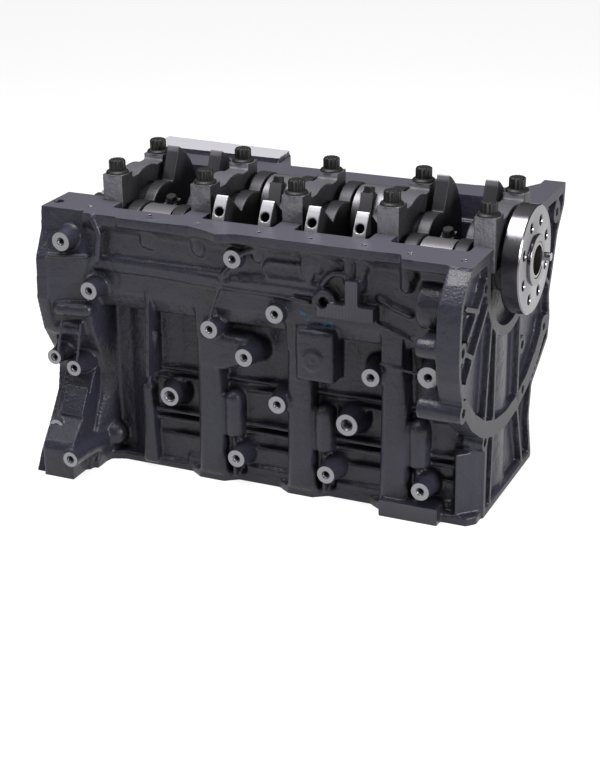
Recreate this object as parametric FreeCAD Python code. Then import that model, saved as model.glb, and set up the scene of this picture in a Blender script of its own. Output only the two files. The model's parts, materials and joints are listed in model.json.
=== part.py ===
"""Four-cylinder in-line engine short block, standing on its deck face with the sump rail up.

Frame: X runs along the crankshaft towards the flywheel flange, -Y is the exhaust side wall,
Z is up. The origin lies on the deck face, midway between cylinders 2 and 3. Millimetres.
"""
import FreeCAD, Part
import math
import os

V = FreeCAD.Vector
X_DIR = V(1, 0, 0)
Y_DIR = V(0, 1, 0)
Z_DIR = V(0, 0, 1)

# ---- driving sizes of the engine ----
CYLINDERS = 4
BORE_PITCH = 98.0            # distance between neighbouring cylinders and between main bearings
BORE = 88.0
STROKE = 86.0
COMPRESSION_HEIGHT = 50.7    # gudgeon pin to crown
DECK_HEIGHT = 246.0          # deck face to crankshaft axis
RAIL_RISE = 26.0             # crankshaft axis to sump rail
CRANK_REST_TURN = 12.0       # degrees that pins 2 and 3 stand above the horizontal

# ---- fits ----
JOURNAL_CLEARANCE = 0.03     # oil film, radial
PISTON_CLEARANCE = 0.05      # piston skirt to bore, radial
RING_CLEARANCE = 0.02        # ring face to bore, radial
OPEN_PIVOT_CLEARANCE = 0.8   # gudgeon pin to small end bush, radial
SIDE_GAP = 0.4               # between parts that turn side by side
HEAD_GAP = 0.3               # between a crown and the deck plane at top dead centre

# ---- crankshaft ----
MAIN_JOURNAL_R = 30.0
CRANKPIN_R = 22.0
WEB_THICKNESS = 13.5
WEB_NOSE_R = 34.0            # round of a web about its crankpin
COUNTERWEIGHT_R = 71.0
COUNTERWEIGHT_HALF_ANGLE = 52.0
WEB_HUB_R = 34.0
BALANCE_HOLE_R = 4.5
BALANCE_HOLE_DEPTH = 16.0
FLANGE_R = 52.5
FLANGE_THICKNESS = 18.0
FLANGE_BOLTS = 8
FLANGE_BOLT_CIRCLE_R = 38.0
FLANGE_BOLT_R = 5.0
PILOT_R = 25.0               # raised spigot that centres the flywheel
PILOT_HEIGHT = 3.0
PILOT_BORE_R = 17.0
PILOT_BORE_DEPTH = 22.0
PILOT_BUSH_WALL = 2.5
DOWEL_R = 4.0
DOWEL_STANDOUT = 9.0
NOSE_R = 14.0
NOSE_LENGTH = 34.0
KEY_SIZE = V(18.0, 5.0, 6.0)

# ---- bearings and caps ----
SHELL_WALL = 2.0
CAP_WIDTH = 22.0
CAP_HEIGHT = 52.0            # split line to bolt seats
CAP_BOLT_SPACING = 86.0
CAP_BOSS_R = 11.0
CAP_ARCH_HEIGHT = 50.0
CAP_SADDLE = 6.0             # the cap's middle lies this far below its bolt seats
THRUST_WASHER_WALL = 2.4
THRUST_WASHER_REACH = 9.0    # how far a washer stands out past the shell
MAIN_BOLT_R = 5.5
BOLT_FLANGE_R = 11.5
BOLT_FLANGE_HEIGHT = 3.5
BOLT_HEAD_R = 8.4            # across the corners of the hexagon
BOLT_HEAD_HEIGHT = 10.5
MAIN_BOLT_REACH = 58.0       # thread below the split line

# ---- rods and pistons ----
ROD_SIDE_FLOAT = 2.0         # big end to each web
BIG_END_WALL = 8.0
ROD_BOLT_SPACING = 56.0
ROD_BOLT_R = 3.5
ROD_BOSS_R = 6.5
ROD_CAP_HEIGHT = 24.0
ROD_SHOULDER_DEPTH = 22.0
ROD_BOLT_HEAD_R = 5.8
ROD_BOLT_HEAD_HEIGHT = 5.0
SHANK_WIDTH = 24.0
SHANK_THICKNESS = 15.0
SHANK_WEB_THICKNESS = 5.0
SMALL_END_R = 21.0
SMALL_END_WIDTH = 26.0
SMALL_BUSH_WALL = 2.0
GUDGEON_PIN_R = 14.0
GUDGEON_PIN_BORE_R = 7.5
GUDGEON_PIN_LENGTH = 66.0
PISTON_LENGTH = 74.0
PISTON_WALL = 6.0
CROWN_THICKNESS = 16.0
BOWL_R = 25.0
BOWL_DEPTH = 9.0
RING_HEIGHTS = (2.0, 2.0, 3.0)
RING_PITCH = 8.0
RING_DEPTH = 3.6
TOP_LAND = 9.0
CIRCLIP_WIRE_R = 0.9

# ---- block casting ----
FLYWHEEL_FACE_X = 204.0
TIMING_FACE_X = -254.0
BULKHEAD_WIDTH = 22.0
CRANKCASE_R = 79.0           # inside of the crankcase about the crankshaft
CRANKCASE_HALF_WIDTH = 91.0
RAIL_INNER_FRONT = 70.0
RAIL_INNER_REAR = 96.0
RAIL_THICKNESS = 10.0
RAIL_LIP = 5.0                # rail left over the widest part of each bay
CAP_REGISTER_HALF_WIDTH = 55.0
JACKET_FRONT_Y = -66.0
JACKET_REAR_Y = 80.0
JACKET_TOP = 172.0           # cylinder walls end here, above the deck
LINER_WALL = 6.0
WATER_GAP = 13.0
BARREL_WALL = 9.0            # outside of the water, about each bore
WATER_FLOOR = 12.0
WATER_TOP = 150.0
END_WALL = 9.0               # metal outside the first and last bores
DECK_FLANGE_HEIGHT = 9.0
DECK_RIM_Y = -79.0
HEAD_BOLT_OFFSET_Y = 54.0
HEAD_BOLT_R = 6.0
HEAD_BOLT_DEPTH = 95.0
TIMING_FLANGE_WIDTH = 12.0
BELL_FLANGE_WIDTH = 16.0
BELL_RADIUS = 166.0
SEAL_ARCH_R = 65.0
SEAL_ARCH_WALL = 11.0
END_FACE_RELIEF = 18.0       # ribs of the flywheel face stand this proud of its floor
BOSS_THREAD_R = 3.5

AXIS_Z = DECK_HEIGHT
RAIL_Z = DECK_HEIGHT + RAIL_RISE
CRANK_R = STROKE / 2.0
BORE_R = BORE / 2.0
ROD_LENGTH = DECK_HEIGHT - CRANK_R - COMPRESSION_HEIGHT - HEAD_GAP
CYLINDER_X = [(n - (CYLINDERS - 1) / 2.0) * BORE_PITCH for n in range(CYLINDERS)]
MAIN_X = [(n - CYLINDERS / 2.0) * BORE_PITCH for n in range(CYLINDERS + 1)]
LAST_CAP_X = FLYWHEEL_FACE_X - CAP_WIDTH / 2.0
CAP_X = MAIN_X[:-1] + [LAST_CAP_X]
HOUSING_R = MAIN_JOURNAL_R + JOURNAL_CLEARANCE + SHELL_WALL
ROD_HOUSING_R = CRANKPIN_R + JOURNAL_CLEARANCE + SHELL_WALL
SMALL_BORE_R = GUDGEON_PIN_R + OPEN_PIVOT_CLEARANCE + SMALL_BUSH_WALL
FLANGE_FACE_X = FLYWHEEL_FACE_X + 4.0 + FLANGE_THICKNESS
OVERCUT = 1.0                # how far a cutter runs past the face that it opens

# ---- crankshaft and rods, along X ----
PIN_LENGTH = BORE_PITCH / 2.0 - WEB_THICKNESS
BIG_END_WIDTH = PIN_LENGTH - 2 * ROD_SIDE_FLOAT
JOURNAL_LENGTH = BORE_PITCH / 2.0 - WEB_THICKNESS

BALANCE_HOLE_TURN = 38.0      # degrees that the balance holes lie above a counterweight's middle
FLANGE_BOLT_TURN = 22.5       # degrees to the first flange bolt
KEY_INSET = 8.0
DOWEL_CIRCLE_R = 24.0
DOWEL_TURN = -8.0
ROD_FLANK = ROD_BOLT_SPACING / 2.0 + ROD_BOSS_R
BIG_END_R = ROD_HOUSING_R + BIG_END_WALL
ROD_BOLT_REACH = 18.0        # thread in the rod below its split line

# ---- piston ----
PISTON_R = BORE_R - PISTON_CLEARANCE
CROWN_Z = -COMPRESSION_HEIGHT
PIN_BOSS_GAP = SMALL_END_WIDTH / 2.0 + 1.5

# ---- walls and rails of the casting ----
WALL_X0 = MAIN_X[0] - 9.0    # where the side walls start behind the timing flare
FRONT_RAIL_Y = -106.0
REAR_RAIL_Y = 130.0
SKIRT_FRONT_Y = -93.0
SKIRT_WALL = 7.0
SKIRT_REAR_Y = 104.0
FLOOR_CORNER_Y = 90.0
RAIL_BOLT_BOSS_R = 6.5
RAIL_BOLT_BOSS_DEPTH = 24.0
RAIL_BOLT_R = 2.6
RAIL_BOLT_DEPTH = 18.0
CORE_PLUG_R = 15.0
CORE_PLUG_DEPTH = 9.0

# ---- pillars, towers and ribs of the water jacket ----
PILLAR_OFFSET_X = 20.0       # bolt pillars stand this far towards the flywheel from each bearing
PILLAR_WIDTH = 29.0
PILLAR_X = [x + PILLAR_OFFSET_X for x in MAIN_X[1:-1]]
PILLAR_FACE_Y = -91.0
PILLAR_TOP = 170.0

BULB_OFFSET_X = 24.5         # round core towers stand this far beyond each pillar
BULB_R = 10.5
BULB_AXIS_Y = -80.0
BULB_FOOT = 52.0
BULB_TOP = 90.0
JACKET_RIB_Z = 52.0         # the lowest pair of level ribs
JACKET_RIB_STEP = 9.0
BELT_Y = -74.0              # front of the belts between the pillars

# ---- sump rail ----
RAIL_BOLT_PLACES = [          # bearing number, offset along X, Y
    (0, -11.5, -80.0), (1, -40.0, -86.0), (1, 16.0, -92.0), (2, -17.0, -95.0),
    (2, 36.0, -94.0), (3, -8.0, -94.0), (3, 40.0, -100.0), (4, -6.0, -101.0)]
REAR_PAD_RISE = 5.0

# ---- timing end ----
# its outline, from the rail down, from the rail down: (y, height above the deck)
TIMING_FRONT = [(-97, RAIL_Z), (-100, AXIS_Z + 3), (-113, AXIS_Z - 22), (-116, AXIS_Z - 65),
                (-107, AXIS_Z - 100), (-90, AXIS_Z - 128), (-83, 96), (-88, 72), (-106, 46),
                (-128, 18), (-138, 0)]
TIMING_REAR = [(REAR_RAIL_Y + 48, RAIL_Z), (REAR_RAIL_Y + 40, AXIS_Z - 10), (132, AXIS_Z - 50),
               (112, AXIS_Z - 90), (104, 90), (100, 0)]
# the flare from the timing flange back to the side wall: (X, share of the flange's outreach)
FLARE_STEPS = ((TIMING_FACE_X + TIMING_FLANGE_WIDTH, 0.92), (TIMING_FACE_X + 50, 0.7),
               (TIMING_FACE_X + 62, 0.0))

# ---- flywheel end ----
CORNER_INSET_Y = 66.0        # the lower front corner is cut back to here on the flywheel face
CORNER_TOP = 73.0
# outline of the flywheel end, from the rail down: (y, height above the deck)
BELL_FRONT = [(-120, RAIL_Z), (-136, AXIS_Z + 12), (-147, AXIS_Z - 2), (-150, AXIS_Z - 20), (-151, AXIS_Z - 56),
              (-149, AXIS_Z - 72), (-141, AXIS_Z - 94), (-127, AXIS_Z - 116), (-108, AXIS_Z - 134),
              (-86, AXIS_Z - 150), (-CORNER_INSET_Y, AXIS_Z - 160), (-CORNER_INSET_Y, 0)]
BELL_REAR = [(REAR_RAIL_Y + 48, RAIL_Z), (REAR_RAIL_Y + 46, AXIS_Z + 4), (156, AXIS_Z - 20),
             (142, AXIS_Z - 60), (134, AXIS_Z - 80), (140, AXIS_Z - 108), (136, AXIS_Z - 128),
             (108, AXIS_Z - 146), (84, AXIS_Z - 160), (78, 50), (FLOOR_CORNER_Y, 0)]
FACE_RIB = 6.0
BELL_ARC_WIDTH = 17.0

# bolt bosses on the flywheel face: (y, height above the crank axis, boss radius)
END_BOSSES = [(-78, -6, 8.0), (-134, -108, 10.5), (-67, -165, 9.0), (44, -105, 10.0), (120, -112, 12.0),
              (150, 2, 12.0), (-140, -47, 9.5), (52, -156, 9.0)]
END_BOLT_R = 4.2
END_BOLT_DEPTH = 26.0
BELL_EARS = [(-140, AXIS_Z - 47, 9.5), (-134, AXIS_Z - 108, 10.5)]   # y, height, radius
BELL_EAR_X0 = 161.0

# ---- bosses ----
# on the front wall: (bearing number, offset along X, height, face y, radius)
SIDE_BOSSES = [
    (2, -41, AXIS_Z - 1, -104, 9.5), (2, 1, AXIS_Z - 52, -101, 9.5), (1, 28, AXIS_Z - 78, -100, 9.5),
    (2, -33, AXIS_Z - 102, -100, 9.5), (3, 0, AXIS_Z - 104, -96, 9.5), (4, -37, AXIS_Z - 91, -105, 11.0),
    (1, 52, 32, -96, 9.5), (2, 0, 98, -96, 9.5), (2, 53, 34, -100, 9.5), (4, -45, 34, -100, 9.5),
    (1, -24, 85, -90, 10.5), (3, -26, 87, -92, 11.5)]
# the same on the timing flare: (offset from the timing face, height, face y, radius)
FLARE_BOSSES = [(33, AXIS_Z - 1, -118, 10.0), (58, AXIS_Z - 51, -112, 9.5), (13, AXIS_Z - 128, -112, 8.0),
                (34, AXIS_Z - 138, -110, 8.5), (19, 47, -126, 8.5), (46, 24, -147, 8.5)]
PLAIN_HOLE_BOSSES = (10, 11)  # the last two side bosses have larger plain holes
PLAIN_HOLE_R = 5.5
BOSS_HOLE_DEPTH = 16.0

BRACKET_FACE_Y = -107.0      # machined face of the T-shaped bracket

# ---- cavities ----
CHEST_FRONT_Y = -43.0
CHEST_REAR_Y = 128.0
CHEST_FLOOR = 14.0
WATER_HOLE_R = 3.0
CORE_PLUG_Z = 75.0


def save(name, shape):
    """Write one piece to its own file."""
    shape.exportStep("parts/" + name + ".step")
    print(name, len(shape.Solids), round(shape.Volume / 1000.0, 1), "cm3", shape.isValid())


def fuse(shapes):
    """One shape from several, with the seams on shared faces removed."""
    whole = shapes[0].fuse(shapes[1:]) if len(shapes) > 1 else shapes[0]
    return whole.removeSplitter()


def box(x0, x1, y0, y1, z0, z1):
    """A box between two corners."""
    return Part.makeBox(x1 - x0, y1 - y0, z1 - z0, V(x0, y0, z0))


def rod_x(radius, x0, x1, y=0.0, z=0.0):
    """A round bar along X."""
    return Part.makeCylinder(radius, x1 - x0, V(x0, y, z), X_DIR)


def rod_y(radius, x, y0, y1, z):
    """A round bar along Y."""
    return Part.makeCylinder(radius, y1 - y0, V(x, y0, z), Y_DIR)


def rod_z(radius, x, y, z0, z1):
    """A round bar along Z."""
    return Part.makeCylinder(radius, z1 - z0, V(x, y, z0), Z_DIR)


def tube_x(outer, inner, x0, x1, y=0.0, z=0.0):
    """A tube along X."""
    return rod_x(outer, x0, x1, y, z).cut(rod_x(inner, x0 - OVERCUT, x1 + OVERCUT, y, z))


def plate_x(outline, x0, x1):
    """A plate across X whose outline is a list of (y, z)."""
    points = [V(x0, y, z) for y, z in outline]
    face = Part.Face(Part.makePolygon(points + points[:1]))
    return face.extrude(V(x1 - x0, 0, 0))


def plate_y(outline, y0, y1):
    """A plate across Y whose outline is a list of (x, z)."""
    points = [V(x, y0, z) for x, z in outline]
    face = Part.Face(Part.makePolygon(points + points[:1]))
    return face.extrude(V(0, y1 - y0, 0))


def plate_z(outline, z0, z1):
    """A plate across Z whose outline is a list of (x, y)."""
    points = [V(x, y, z0) for x, y in outline]
    face = Part.Face(Part.makePolygon(points + points[:1]))
    return face.extrude(V(0, 0, z1 - z0))


def hexagon_z(radius, x, y, z0, z1):
    """A hexagonal prism along Z, given across its corners."""
    corners = [(x + radius * math.cos(math.radians(60 * n)), y + radius * math.sin(math.radians(60 * n)))
               for n in range(6)]
    return plate_z(corners, z0, z1)


def half_ring(outer, inner, x0, x1, upper):
    """Half of a tube along X about the origin, above or below the plane z = 0."""
    z0, z1 = (0.0, outer + OVERCUT) if upper else (-outer - OVERCUT, 0.0)
    return tube_x(outer, inner, x0, x1).common(box(x0, x1, -outer - OVERCUT, outer + OVERCUT, z0, z1))


def placed(shape, turn, y, z, x=0.0):
    """A copy turned about X by so many degrees and then moved."""
    copy = shape.copy()
    copy.rotate(V(0, 0, 0), X_DIR, turn)
    copy.translate(V(x, y, z))
    return copy


# ---- where the moving parts stand at rest ----

def crank_turn(cylinder):
    """Angle of a crankpin above +Y, in degrees; the inner pair is opposite the outer pair."""
    inner = cylinder in (1, 2)
    return CRANK_REST_TURN if inner else CRANK_REST_TURN + 180.0


def pin_place(cylinder):
    """Y and Z of a crankpin's centre."""
    turn = math.radians(crank_turn(cylinder))
    return CRANK_R * math.cos(turn), AXIS_Z + CRANK_R * math.sin(turn)


def rod_lean(cylinder):
    """Turn of a rod about X, in degrees, from hanging straight down."""
    return -math.degrees(math.asin(pin_place(cylinder)[0] / ROD_LENGTH))


def gudgeon_z(cylinder):
    """Height of a gudgeon pin above the deck."""
    y, z = pin_place(cylinder)
    return z - math.sqrt(ROD_LENGTH ** 2 - y ** 2)


# ---- crankshaft ----


def web(x_middle):
    """One crank web with its counterweight; the crankpin side points along +Y."""
    x0 = x_middle - WEB_THICKNESS / 2.0
    x1 = x_middle + WEB_THICKNESS / 2.0
    nose = rod_x(WEB_NOSE_R, x0, x1, CRANK_R)
    hub = rod_x(WEB_HUB_R, x0, x1)
    half = math.radians(COUNTERWEIGHT_HALF_ANGLE)
    reach = COUNTERWEIGHT_R * 1.6
    wedge = plate_x([(0, 0), (-reach * math.cos(half), reach * math.sin(half)), (-reach, 0),
                     (-reach * math.cos(half), -reach * math.sin(half))], x0, x1)
    weight = rod_x(COUNTERWEIGHT_R, x0, x1).common(wedge)
    return fuse([nose, hub, weight])


def crankshaft():
    """The forged shaft with webs, flywheel flange and timing nose, turned to its rest angle."""
    pieces = []
    for x in MAIN_X[:-1]:
        pieces.append(rod_x(MAIN_JOURNAL_R, x - JOURNAL_LENGTH / 2.0, x + JOURNAL_LENGTH / 2.0))
    last_x = MAIN_X[-1] - JOURNAL_LENGTH / 2.0
    flange_back_x = FLANGE_FACE_X - FLANGE_THICKNESS
    pieces.append(rod_x(MAIN_JOURNAL_R, last_x, flange_back_x))
    for cylinder, x in enumerate(CYLINDER_X):
        throw = [rod_x(CRANKPIN_R, x - PIN_LENGTH / 2.0, x + PIN_LENGTH / 2.0, CRANK_R)]
        for side in (-1, 1):
            middle = x + side * (PIN_LENGTH + WEB_THICKNESS) / 2.0
            cheek = web(middle)
            hole_y = -COUNTERWEIGHT_R + BALANCE_HOLE_DEPTH
            if cylinder in (1, 2):
                hole = Part.makeCylinder(BALANCE_HOLE_R, BALANCE_HOLE_DEPTH + OVERCUT,
                                         V(middle, hole_y, 0), V(0, -1, 0))
                hole.rotate(V(0, 0, 0), X_DIR, -BALANCE_HOLE_TURN)
                cheek = cheek.cut(hole)
            throw.append(cheek)
        pieces += [placed(part, crank_turn(cylinder), 0, 0) for part in throw]
    first_x = MAIN_X[0] - JOURNAL_LENGTH / 2.0
    pieces.append(rod_x(NOSE_R, first_x - NOSE_LENGTH, first_x))
    pieces.append(rod_x(FLANGE_R, flange_back_x, FLANGE_FACE_X))
    pieces.append(rod_x(PILOT_R, FLANGE_FACE_X, FLANGE_FACE_X + PILOT_HEIGHT))
    shaft = fuse(pieces)
    cutters = []
    for n in range(FLANGE_BOLTS):
        turn = math.radians(FLANGE_BOLT_TURN + n * 360.0 / FLANGE_BOLTS)
        y = FLANGE_BOLT_CIRCLE_R * math.cos(turn)
        z = FLANGE_BOLT_CIRCLE_R * math.sin(turn)
        cutters.append(rod_x(FLANGE_BOLT_R, flange_back_x - OVERCUT, FLANGE_FACE_X + OVERCUT, y, z))
    end_x = FLANGE_FACE_X + PILOT_HEIGHT
    cutters.append(rod_x(PILOT_BORE_R, end_x - PILOT_BORE_DEPTH, end_x + OVERCUT))
    cutters.append(rod_x(DOWEL_R, FLANGE_FACE_X - DOWEL_STANDOUT, end_x + OVERCUT, *dowel_place()))
    key_x = first_x - KEY_SIZE.x - KEY_INSET
    cutters.append(box(key_x, key_x + KEY_SIZE.x, -KEY_SIZE.y / 2.0, KEY_SIZE.y / 2.0,
                       NOSE_R - KEY_SIZE.z / 2.0, NOSE_R + KEY_SIZE.z))
    shaft = shaft.cut(fuse(cutters))
    shaft.translate(V(0, 0, AXIS_Z))
    return shaft


def dowel_place():
    """Y and Z of the flywheel dowel about the shaft's axis."""
    turn = math.radians(DOWEL_TURN)
    return DOWEL_CIRCLE_R * math.cos(turn), DOWEL_CIRCLE_R * math.sin(turn)


def flange_dowel():
    """The dowel that times the flywheel to the flange."""
    y, z = dowel_place()
    return rod_x(DOWEL_R, FLANGE_FACE_X - DOWEL_STANDOUT, FLANGE_FACE_X + DOWEL_STANDOUT, y, AXIS_Z + z)


def pilot_bush():
    """The bush in the shaft's end that carries the gearbox input shaft."""
    end_x = FLANGE_FACE_X + PILOT_HEIGHT
    return tube_x(PILOT_BORE_R, PILOT_BORE_R - PILOT_BUSH_WALL, end_x - PILOT_BORE_DEPTH, end_x - SIDE_GAP,
                  0, AXIS_Z)


def nose_key():
    """The key that times the crank pulley hub on the shaft's nose."""
    key_x = MAIN_X[0] - JOURNAL_LENGTH / 2.0 - KEY_SIZE.x - KEY_INSET
    return box(key_x, key_x + KEY_SIZE.x, -KEY_SIZE.y / 2.0, KEY_SIZE.y / 2.0,
               AXIS_Z + NOSE_R - KEY_SIZE.z / 2.0, AXIS_Z + NOSE_R + KEY_SIZE.z / 2.0)


# ---- main bearings ----

def main_cap(number):
    """A main bearing cap: two bolt bosses joined by an arch over the journal."""
    x0 = CAP_X[number] - CAP_WIDTH / 2.0
    x1 = x0 + CAP_WIDTH
    half = CAP_BOLT_SPACING / 2.0
    pieces = [rod_x(CAP_ARCH_HEIGHT, x0, x1)]
    for side in (-1, 1):
        y = side * half
        pieces.append(box(x0, x1, y - CAP_BOSS_R, y + CAP_BOSS_R, 0, CAP_HEIGHT))
    pieces.append(box(x0, x1, -half, half, 0, CAP_HEIGHT - CAP_SADDLE))
    cap = fuse(pieces).common(box(x0, x1, -half - CAP_BOSS_R, half + CAP_BOSS_R, 0, CAP_HEIGHT))
    holes = [rod_x(HOUSING_R, x0 - OVERCUT, x1 + OVERCUT)]
    for side in (-1, 1):
        holes.append(rod_z(MAIN_BOLT_R + SIDE_GAP, CAP_X[number], side * half, -OVERCUT, CAP_HEIGHT + OVERCUT))
    cap = cap.cut(fuse(holes))
    cap.translate(V(0, 0, AXIS_Z))
    return cap


def main_shells(number):
    """The two half shells of one main bearing."""
    x0 = CAP_X[number] - CAP_WIDTH / 2.0 + SIDE_GAP
    x1 = CAP_X[number] + CAP_WIDTH / 2.0 - SIDE_GAP
    inner = MAIN_JOURNAL_R + JOURNAL_CLEARANCE
    halves = [half_ring(HOUSING_R, inner, x0, x1, upper) for upper in (True, False)]
    pair = Part.makeCompound(halves)
    pair.translate(V(0, 0, AXIS_Z))
    return pair


def thrust_washers():
    """Half washers either side of the middle bearing's seat in the block."""
    middle = MAIN_X[CYLINDERS // 2]
    inner = MAIN_JOURNAL_R + SIDE_GAP
    washers = []
    for side in (-1, 1):
        near = middle + side * BULKHEAD_WIDTH / 2.0
        far = near + side * THRUST_WASHER_WALL
        washers.append(half_ring(HOUSING_R + THRUST_WASHER_REACH, inner, min(near, far), max(near, far), False))
    pair = Part.makeCompound(washers)
    pair.translate(V(0, 0, AXIS_Z))
    return pair


def flanged_bolt(x, y, seat_z, shank_r, flange_r, flange_height, head_r, head_height, reach):
    """A hexagon bolt with its washer face, its head upwards and its seat at seat_z."""
    shank = rod_z(shank_r, x, y, seat_z - reach, seat_z)
    flange = rod_z(flange_r, x, y, seat_z, seat_z + flange_height)
    top = seat_z + flange_height + head_height
    head = hexagon_z(head_r, x, y, seat_z, top)
    crown = Part.makeCone(head_r + head_height, head_r * 0.8, head_height + flange_height, V(x, y, seat_z))
    return fuse([shank, flange, head.common(crown)])


def main_bolts():
    """The ten bolts that hold the main bearing caps."""
    bolts = []
    for x in CAP_X:
        for side in (-1, 1):
            bolts.append(flanged_bolt(x, side * CAP_BOLT_SPACING / 2.0, AXIS_Z + CAP_HEIGHT, MAIN_BOLT_R,
                                      BOLT_FLANGE_R, BOLT_FLANGE_HEIGHT, BOLT_HEAD_R, BOLT_HEAD_HEIGHT,
                                      CAP_HEIGHT + MAIN_BOLT_REACH))
    return Part.makeCompound(bolts)


# ---- connecting rods, about the crankpin's centre with the piston below ----


def connecting_rod():
    """The forged rod without its cap."""
    half = BIG_END_WIDTH / 2.0
    ring = half_ring(BIG_END_R, ROD_HOUSING_R, -half, half, False)
    pieces = [ring]
    for side in (-1, 1):
        y = side * ROD_BOLT_SPACING / 2.0
        pieces.append(box(-ROD_BOSS_R, ROD_BOSS_R, y - ROD_BOSS_R, y + ROD_BOSS_R, -ROD_SHOULDER_DEPTH, 0))
    neck = BIG_END_R - BIG_END_WALL / 2.0
    shank = box(-SHANK_THICKNESS / 2.0, SHANK_THICKNESS / 2.0, -SHANK_WIDTH / 2.0, SHANK_WIDTH / 2.0,
                -ROD_LENGTH + SMALL_BORE_R, -neck)
    pocket_depth = (SHANK_THICKNESS - SHANK_WEB_THICKNESS) / 2.0
    pocket_half = SHANK_WIDTH / 2.0 - pocket_depth
    for side in (-1, 1):
        x = side * (SHANK_THICKNESS / 2.0 - pocket_depth / 2.0)
        shank = shank.cut(box(x - pocket_depth / 2.0, x + pocket_depth / 2.0, -pocket_half, pocket_half,
                              -ROD_LENGTH + SMALL_END_R + pocket_depth, -BIG_END_R - pocket_depth))
    pieces.append(shank)
    small_half = SMALL_END_WIDTH / 2.0
    pieces.append(rod_x(SMALL_END_R, -small_half, small_half, 0, -ROD_LENGTH))
    rod = fuse(pieces)
    holes = [rod_x(ROD_HOUSING_R, -half - OVERCUT, half + OVERCUT),
             rod_x(SMALL_BORE_R, -small_half - OVERCUT, small_half + OVERCUT, 0, -ROD_LENGTH)]
    for side in (-1, 1):
        holes.append(rod_z(ROD_BOLT_R, 0, side * ROD_BOLT_SPACING / 2.0, -ROD_BOLT_REACH, OVERCUT))
    return rod.cut(fuse(holes))


def rod_cap():
    """The big end's cap with a boss at each bolt."""
    half = BIG_END_WIDTH / 2.0
    pieces = [half_ring(BIG_END_R, ROD_HOUSING_R, -half, half, True)]
    for side in (-1, 1):
        y = side * ROD_BOLT_SPACING / 2.0
        pieces.append(box(-ROD_BOSS_R, ROD_BOSS_R, y - ROD_BOSS_R, y + ROD_BOSS_R, 0, ROD_CAP_HEIGHT))
    cap = fuse(pieces)
    holes = [rod_x(ROD_HOUSING_R, -half - OVERCUT, half + OVERCUT)]
    for side in (-1, 1):
        y = side * ROD_BOLT_SPACING / 2.0
        holes.append(rod_z(ROD_BOLT_R + SIDE_GAP, 0, y, -OVERCUT, ROD_CAP_HEIGHT + OVERCUT))
        holes.append(rod_z(ROD_BOSS_R + SIDE_GAP, 0, y, ROD_CAP_HEIGHT, BIG_END_R + OVERCUT))
    return cap.cut(fuse(holes))


def rod_bolts():
    """The pair of bolts of one rod."""
    bolts = []
    for side in (-1, 1):
        bolts.append(flanged_bolt(0, side * ROD_BOLT_SPACING / 2.0, ROD_CAP_HEIGHT, ROD_BOLT_R,
                                  ROD_BOSS_R, 1.5, ROD_BOLT_HEAD_R, ROD_BOLT_HEAD_HEIGHT,
                                  ROD_CAP_HEIGHT + ROD_BOLT_REACH))
    return Part.makeCompound(bolts)


def rod_shells():
    """The two half shells of one big end."""
    half = BIG_END_WIDTH / 2.0 - SIDE_GAP
    inner = CRANKPIN_R + JOURNAL_CLEARANCE
    return Part.makeCompound([half_ring(ROD_HOUSING_R, inner, -half, half, upper) for upper in (True, False)])


def small_end_bush():
    """The bronze bush of the small end; it leaves the open pivot's clearance to the gudgeon pin."""
    half = SMALL_END_WIDTH / 2.0 - SIDE_GAP
    return tube_x(SMALL_BORE_R, SMALL_BORE_R - SMALL_BUSH_WALL, -half, half, 0, -ROD_LENGTH)


# ---- pistons, about the gudgeon pin's centre with the crown below ----


def groove_heights():
    """Lower edge and height of each ring groove, counted from the crown."""
    heights = []
    z = CROWN_Z + TOP_LAND
    for height in RING_HEIGHTS:
        heights.append((z, height))
        z += RING_PITCH
    return heights


def piston():
    """The cast piston with its combustion bowl, ring grooves and pin bosses."""
    top = CROWN_Z + PISTON_LENGTH
    body = rod_z(PISTON_R, 0, 0, CROWN_Z, top)
    inside = rod_z(PISTON_R - PISTON_WALL, 0, 0, CROWN_Z + CROWN_THICKNESS, top + OVERCUT)
    boss_r = GUDGEON_PIN_R + PISTON_WALL + 1.0
    for side in (-1, 1):
        x0 = min(side * PIN_BOSS_GAP, side * PISTON_R)
        x1 = max(side * PIN_BOSS_GAP, side * PISTON_R)
        boss = fuse([rod_x(boss_r, x0, x1), box(x0, x1, -boss_r, boss_r, CROWN_Z + CROWN_THICKNESS, 0)])
        inside = inside.cut(boss)
    body = body.cut(inside)
    cutters = [rod_x(GUDGEON_PIN_R, -PISTON_R - OVERCUT, PISTON_R + OVERCUT)]
    cutters.append(rod_z(BOWL_R, 0, 0, CROWN_Z - OVERCUT, CROWN_Z + BOWL_DEPTH))
    for z, height in groove_heights():
        floor_r = BORE_R - RING_DEPTH - SIDE_GAP
        cutters.append(rod_z(PISTON_R + OVERCUT, 0, 0, z, z + height).cut(
            rod_z(floor_r, 0, 0, z - OVERCUT, z + height + OVERCUT)))
    body = body.cut(Part.makeCompound(cutters))
    for side in (-1, 1):
        body = body.cut(circlip_ring(side))
    return body


def piston_rings():
    """Two compression rings and an oil ring, each with its gap."""
    rings = []
    for n, (z, height) in enumerate(groove_heights()):
        ring = rod_z(BORE_R - RING_CLEARANCE, 0, 0, z, z + height - RING_CLEARANCE)
        ring = ring.cut(rod_z(BORE_R - RING_DEPTH, 0, 0, z - OVERCUT, z + height + OVERCUT))
        gap = box(0, BORE_R + OVERCUT, -SIDE_GAP, SIDE_GAP, z - OVERCUT, z + height + OVERCUT)
        gap.rotate(V(0, 0, 0), Z_DIR, 120.0 * n)
        rings.append(ring.cut(gap))
    return Part.makeCompound(rings)


def circlip_ring(side):
    """The round wire ring that keeps the gudgeon pin in, whole as its groove is."""
    x = side * (GUDGEON_PIN_LENGTH / 2.0 + CIRCLIP_WIRE_R)
    return Part.makeTorus(GUDGEON_PIN_R, CIRCLIP_WIRE_R, V(x, 0, 0), X_DIR)


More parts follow.
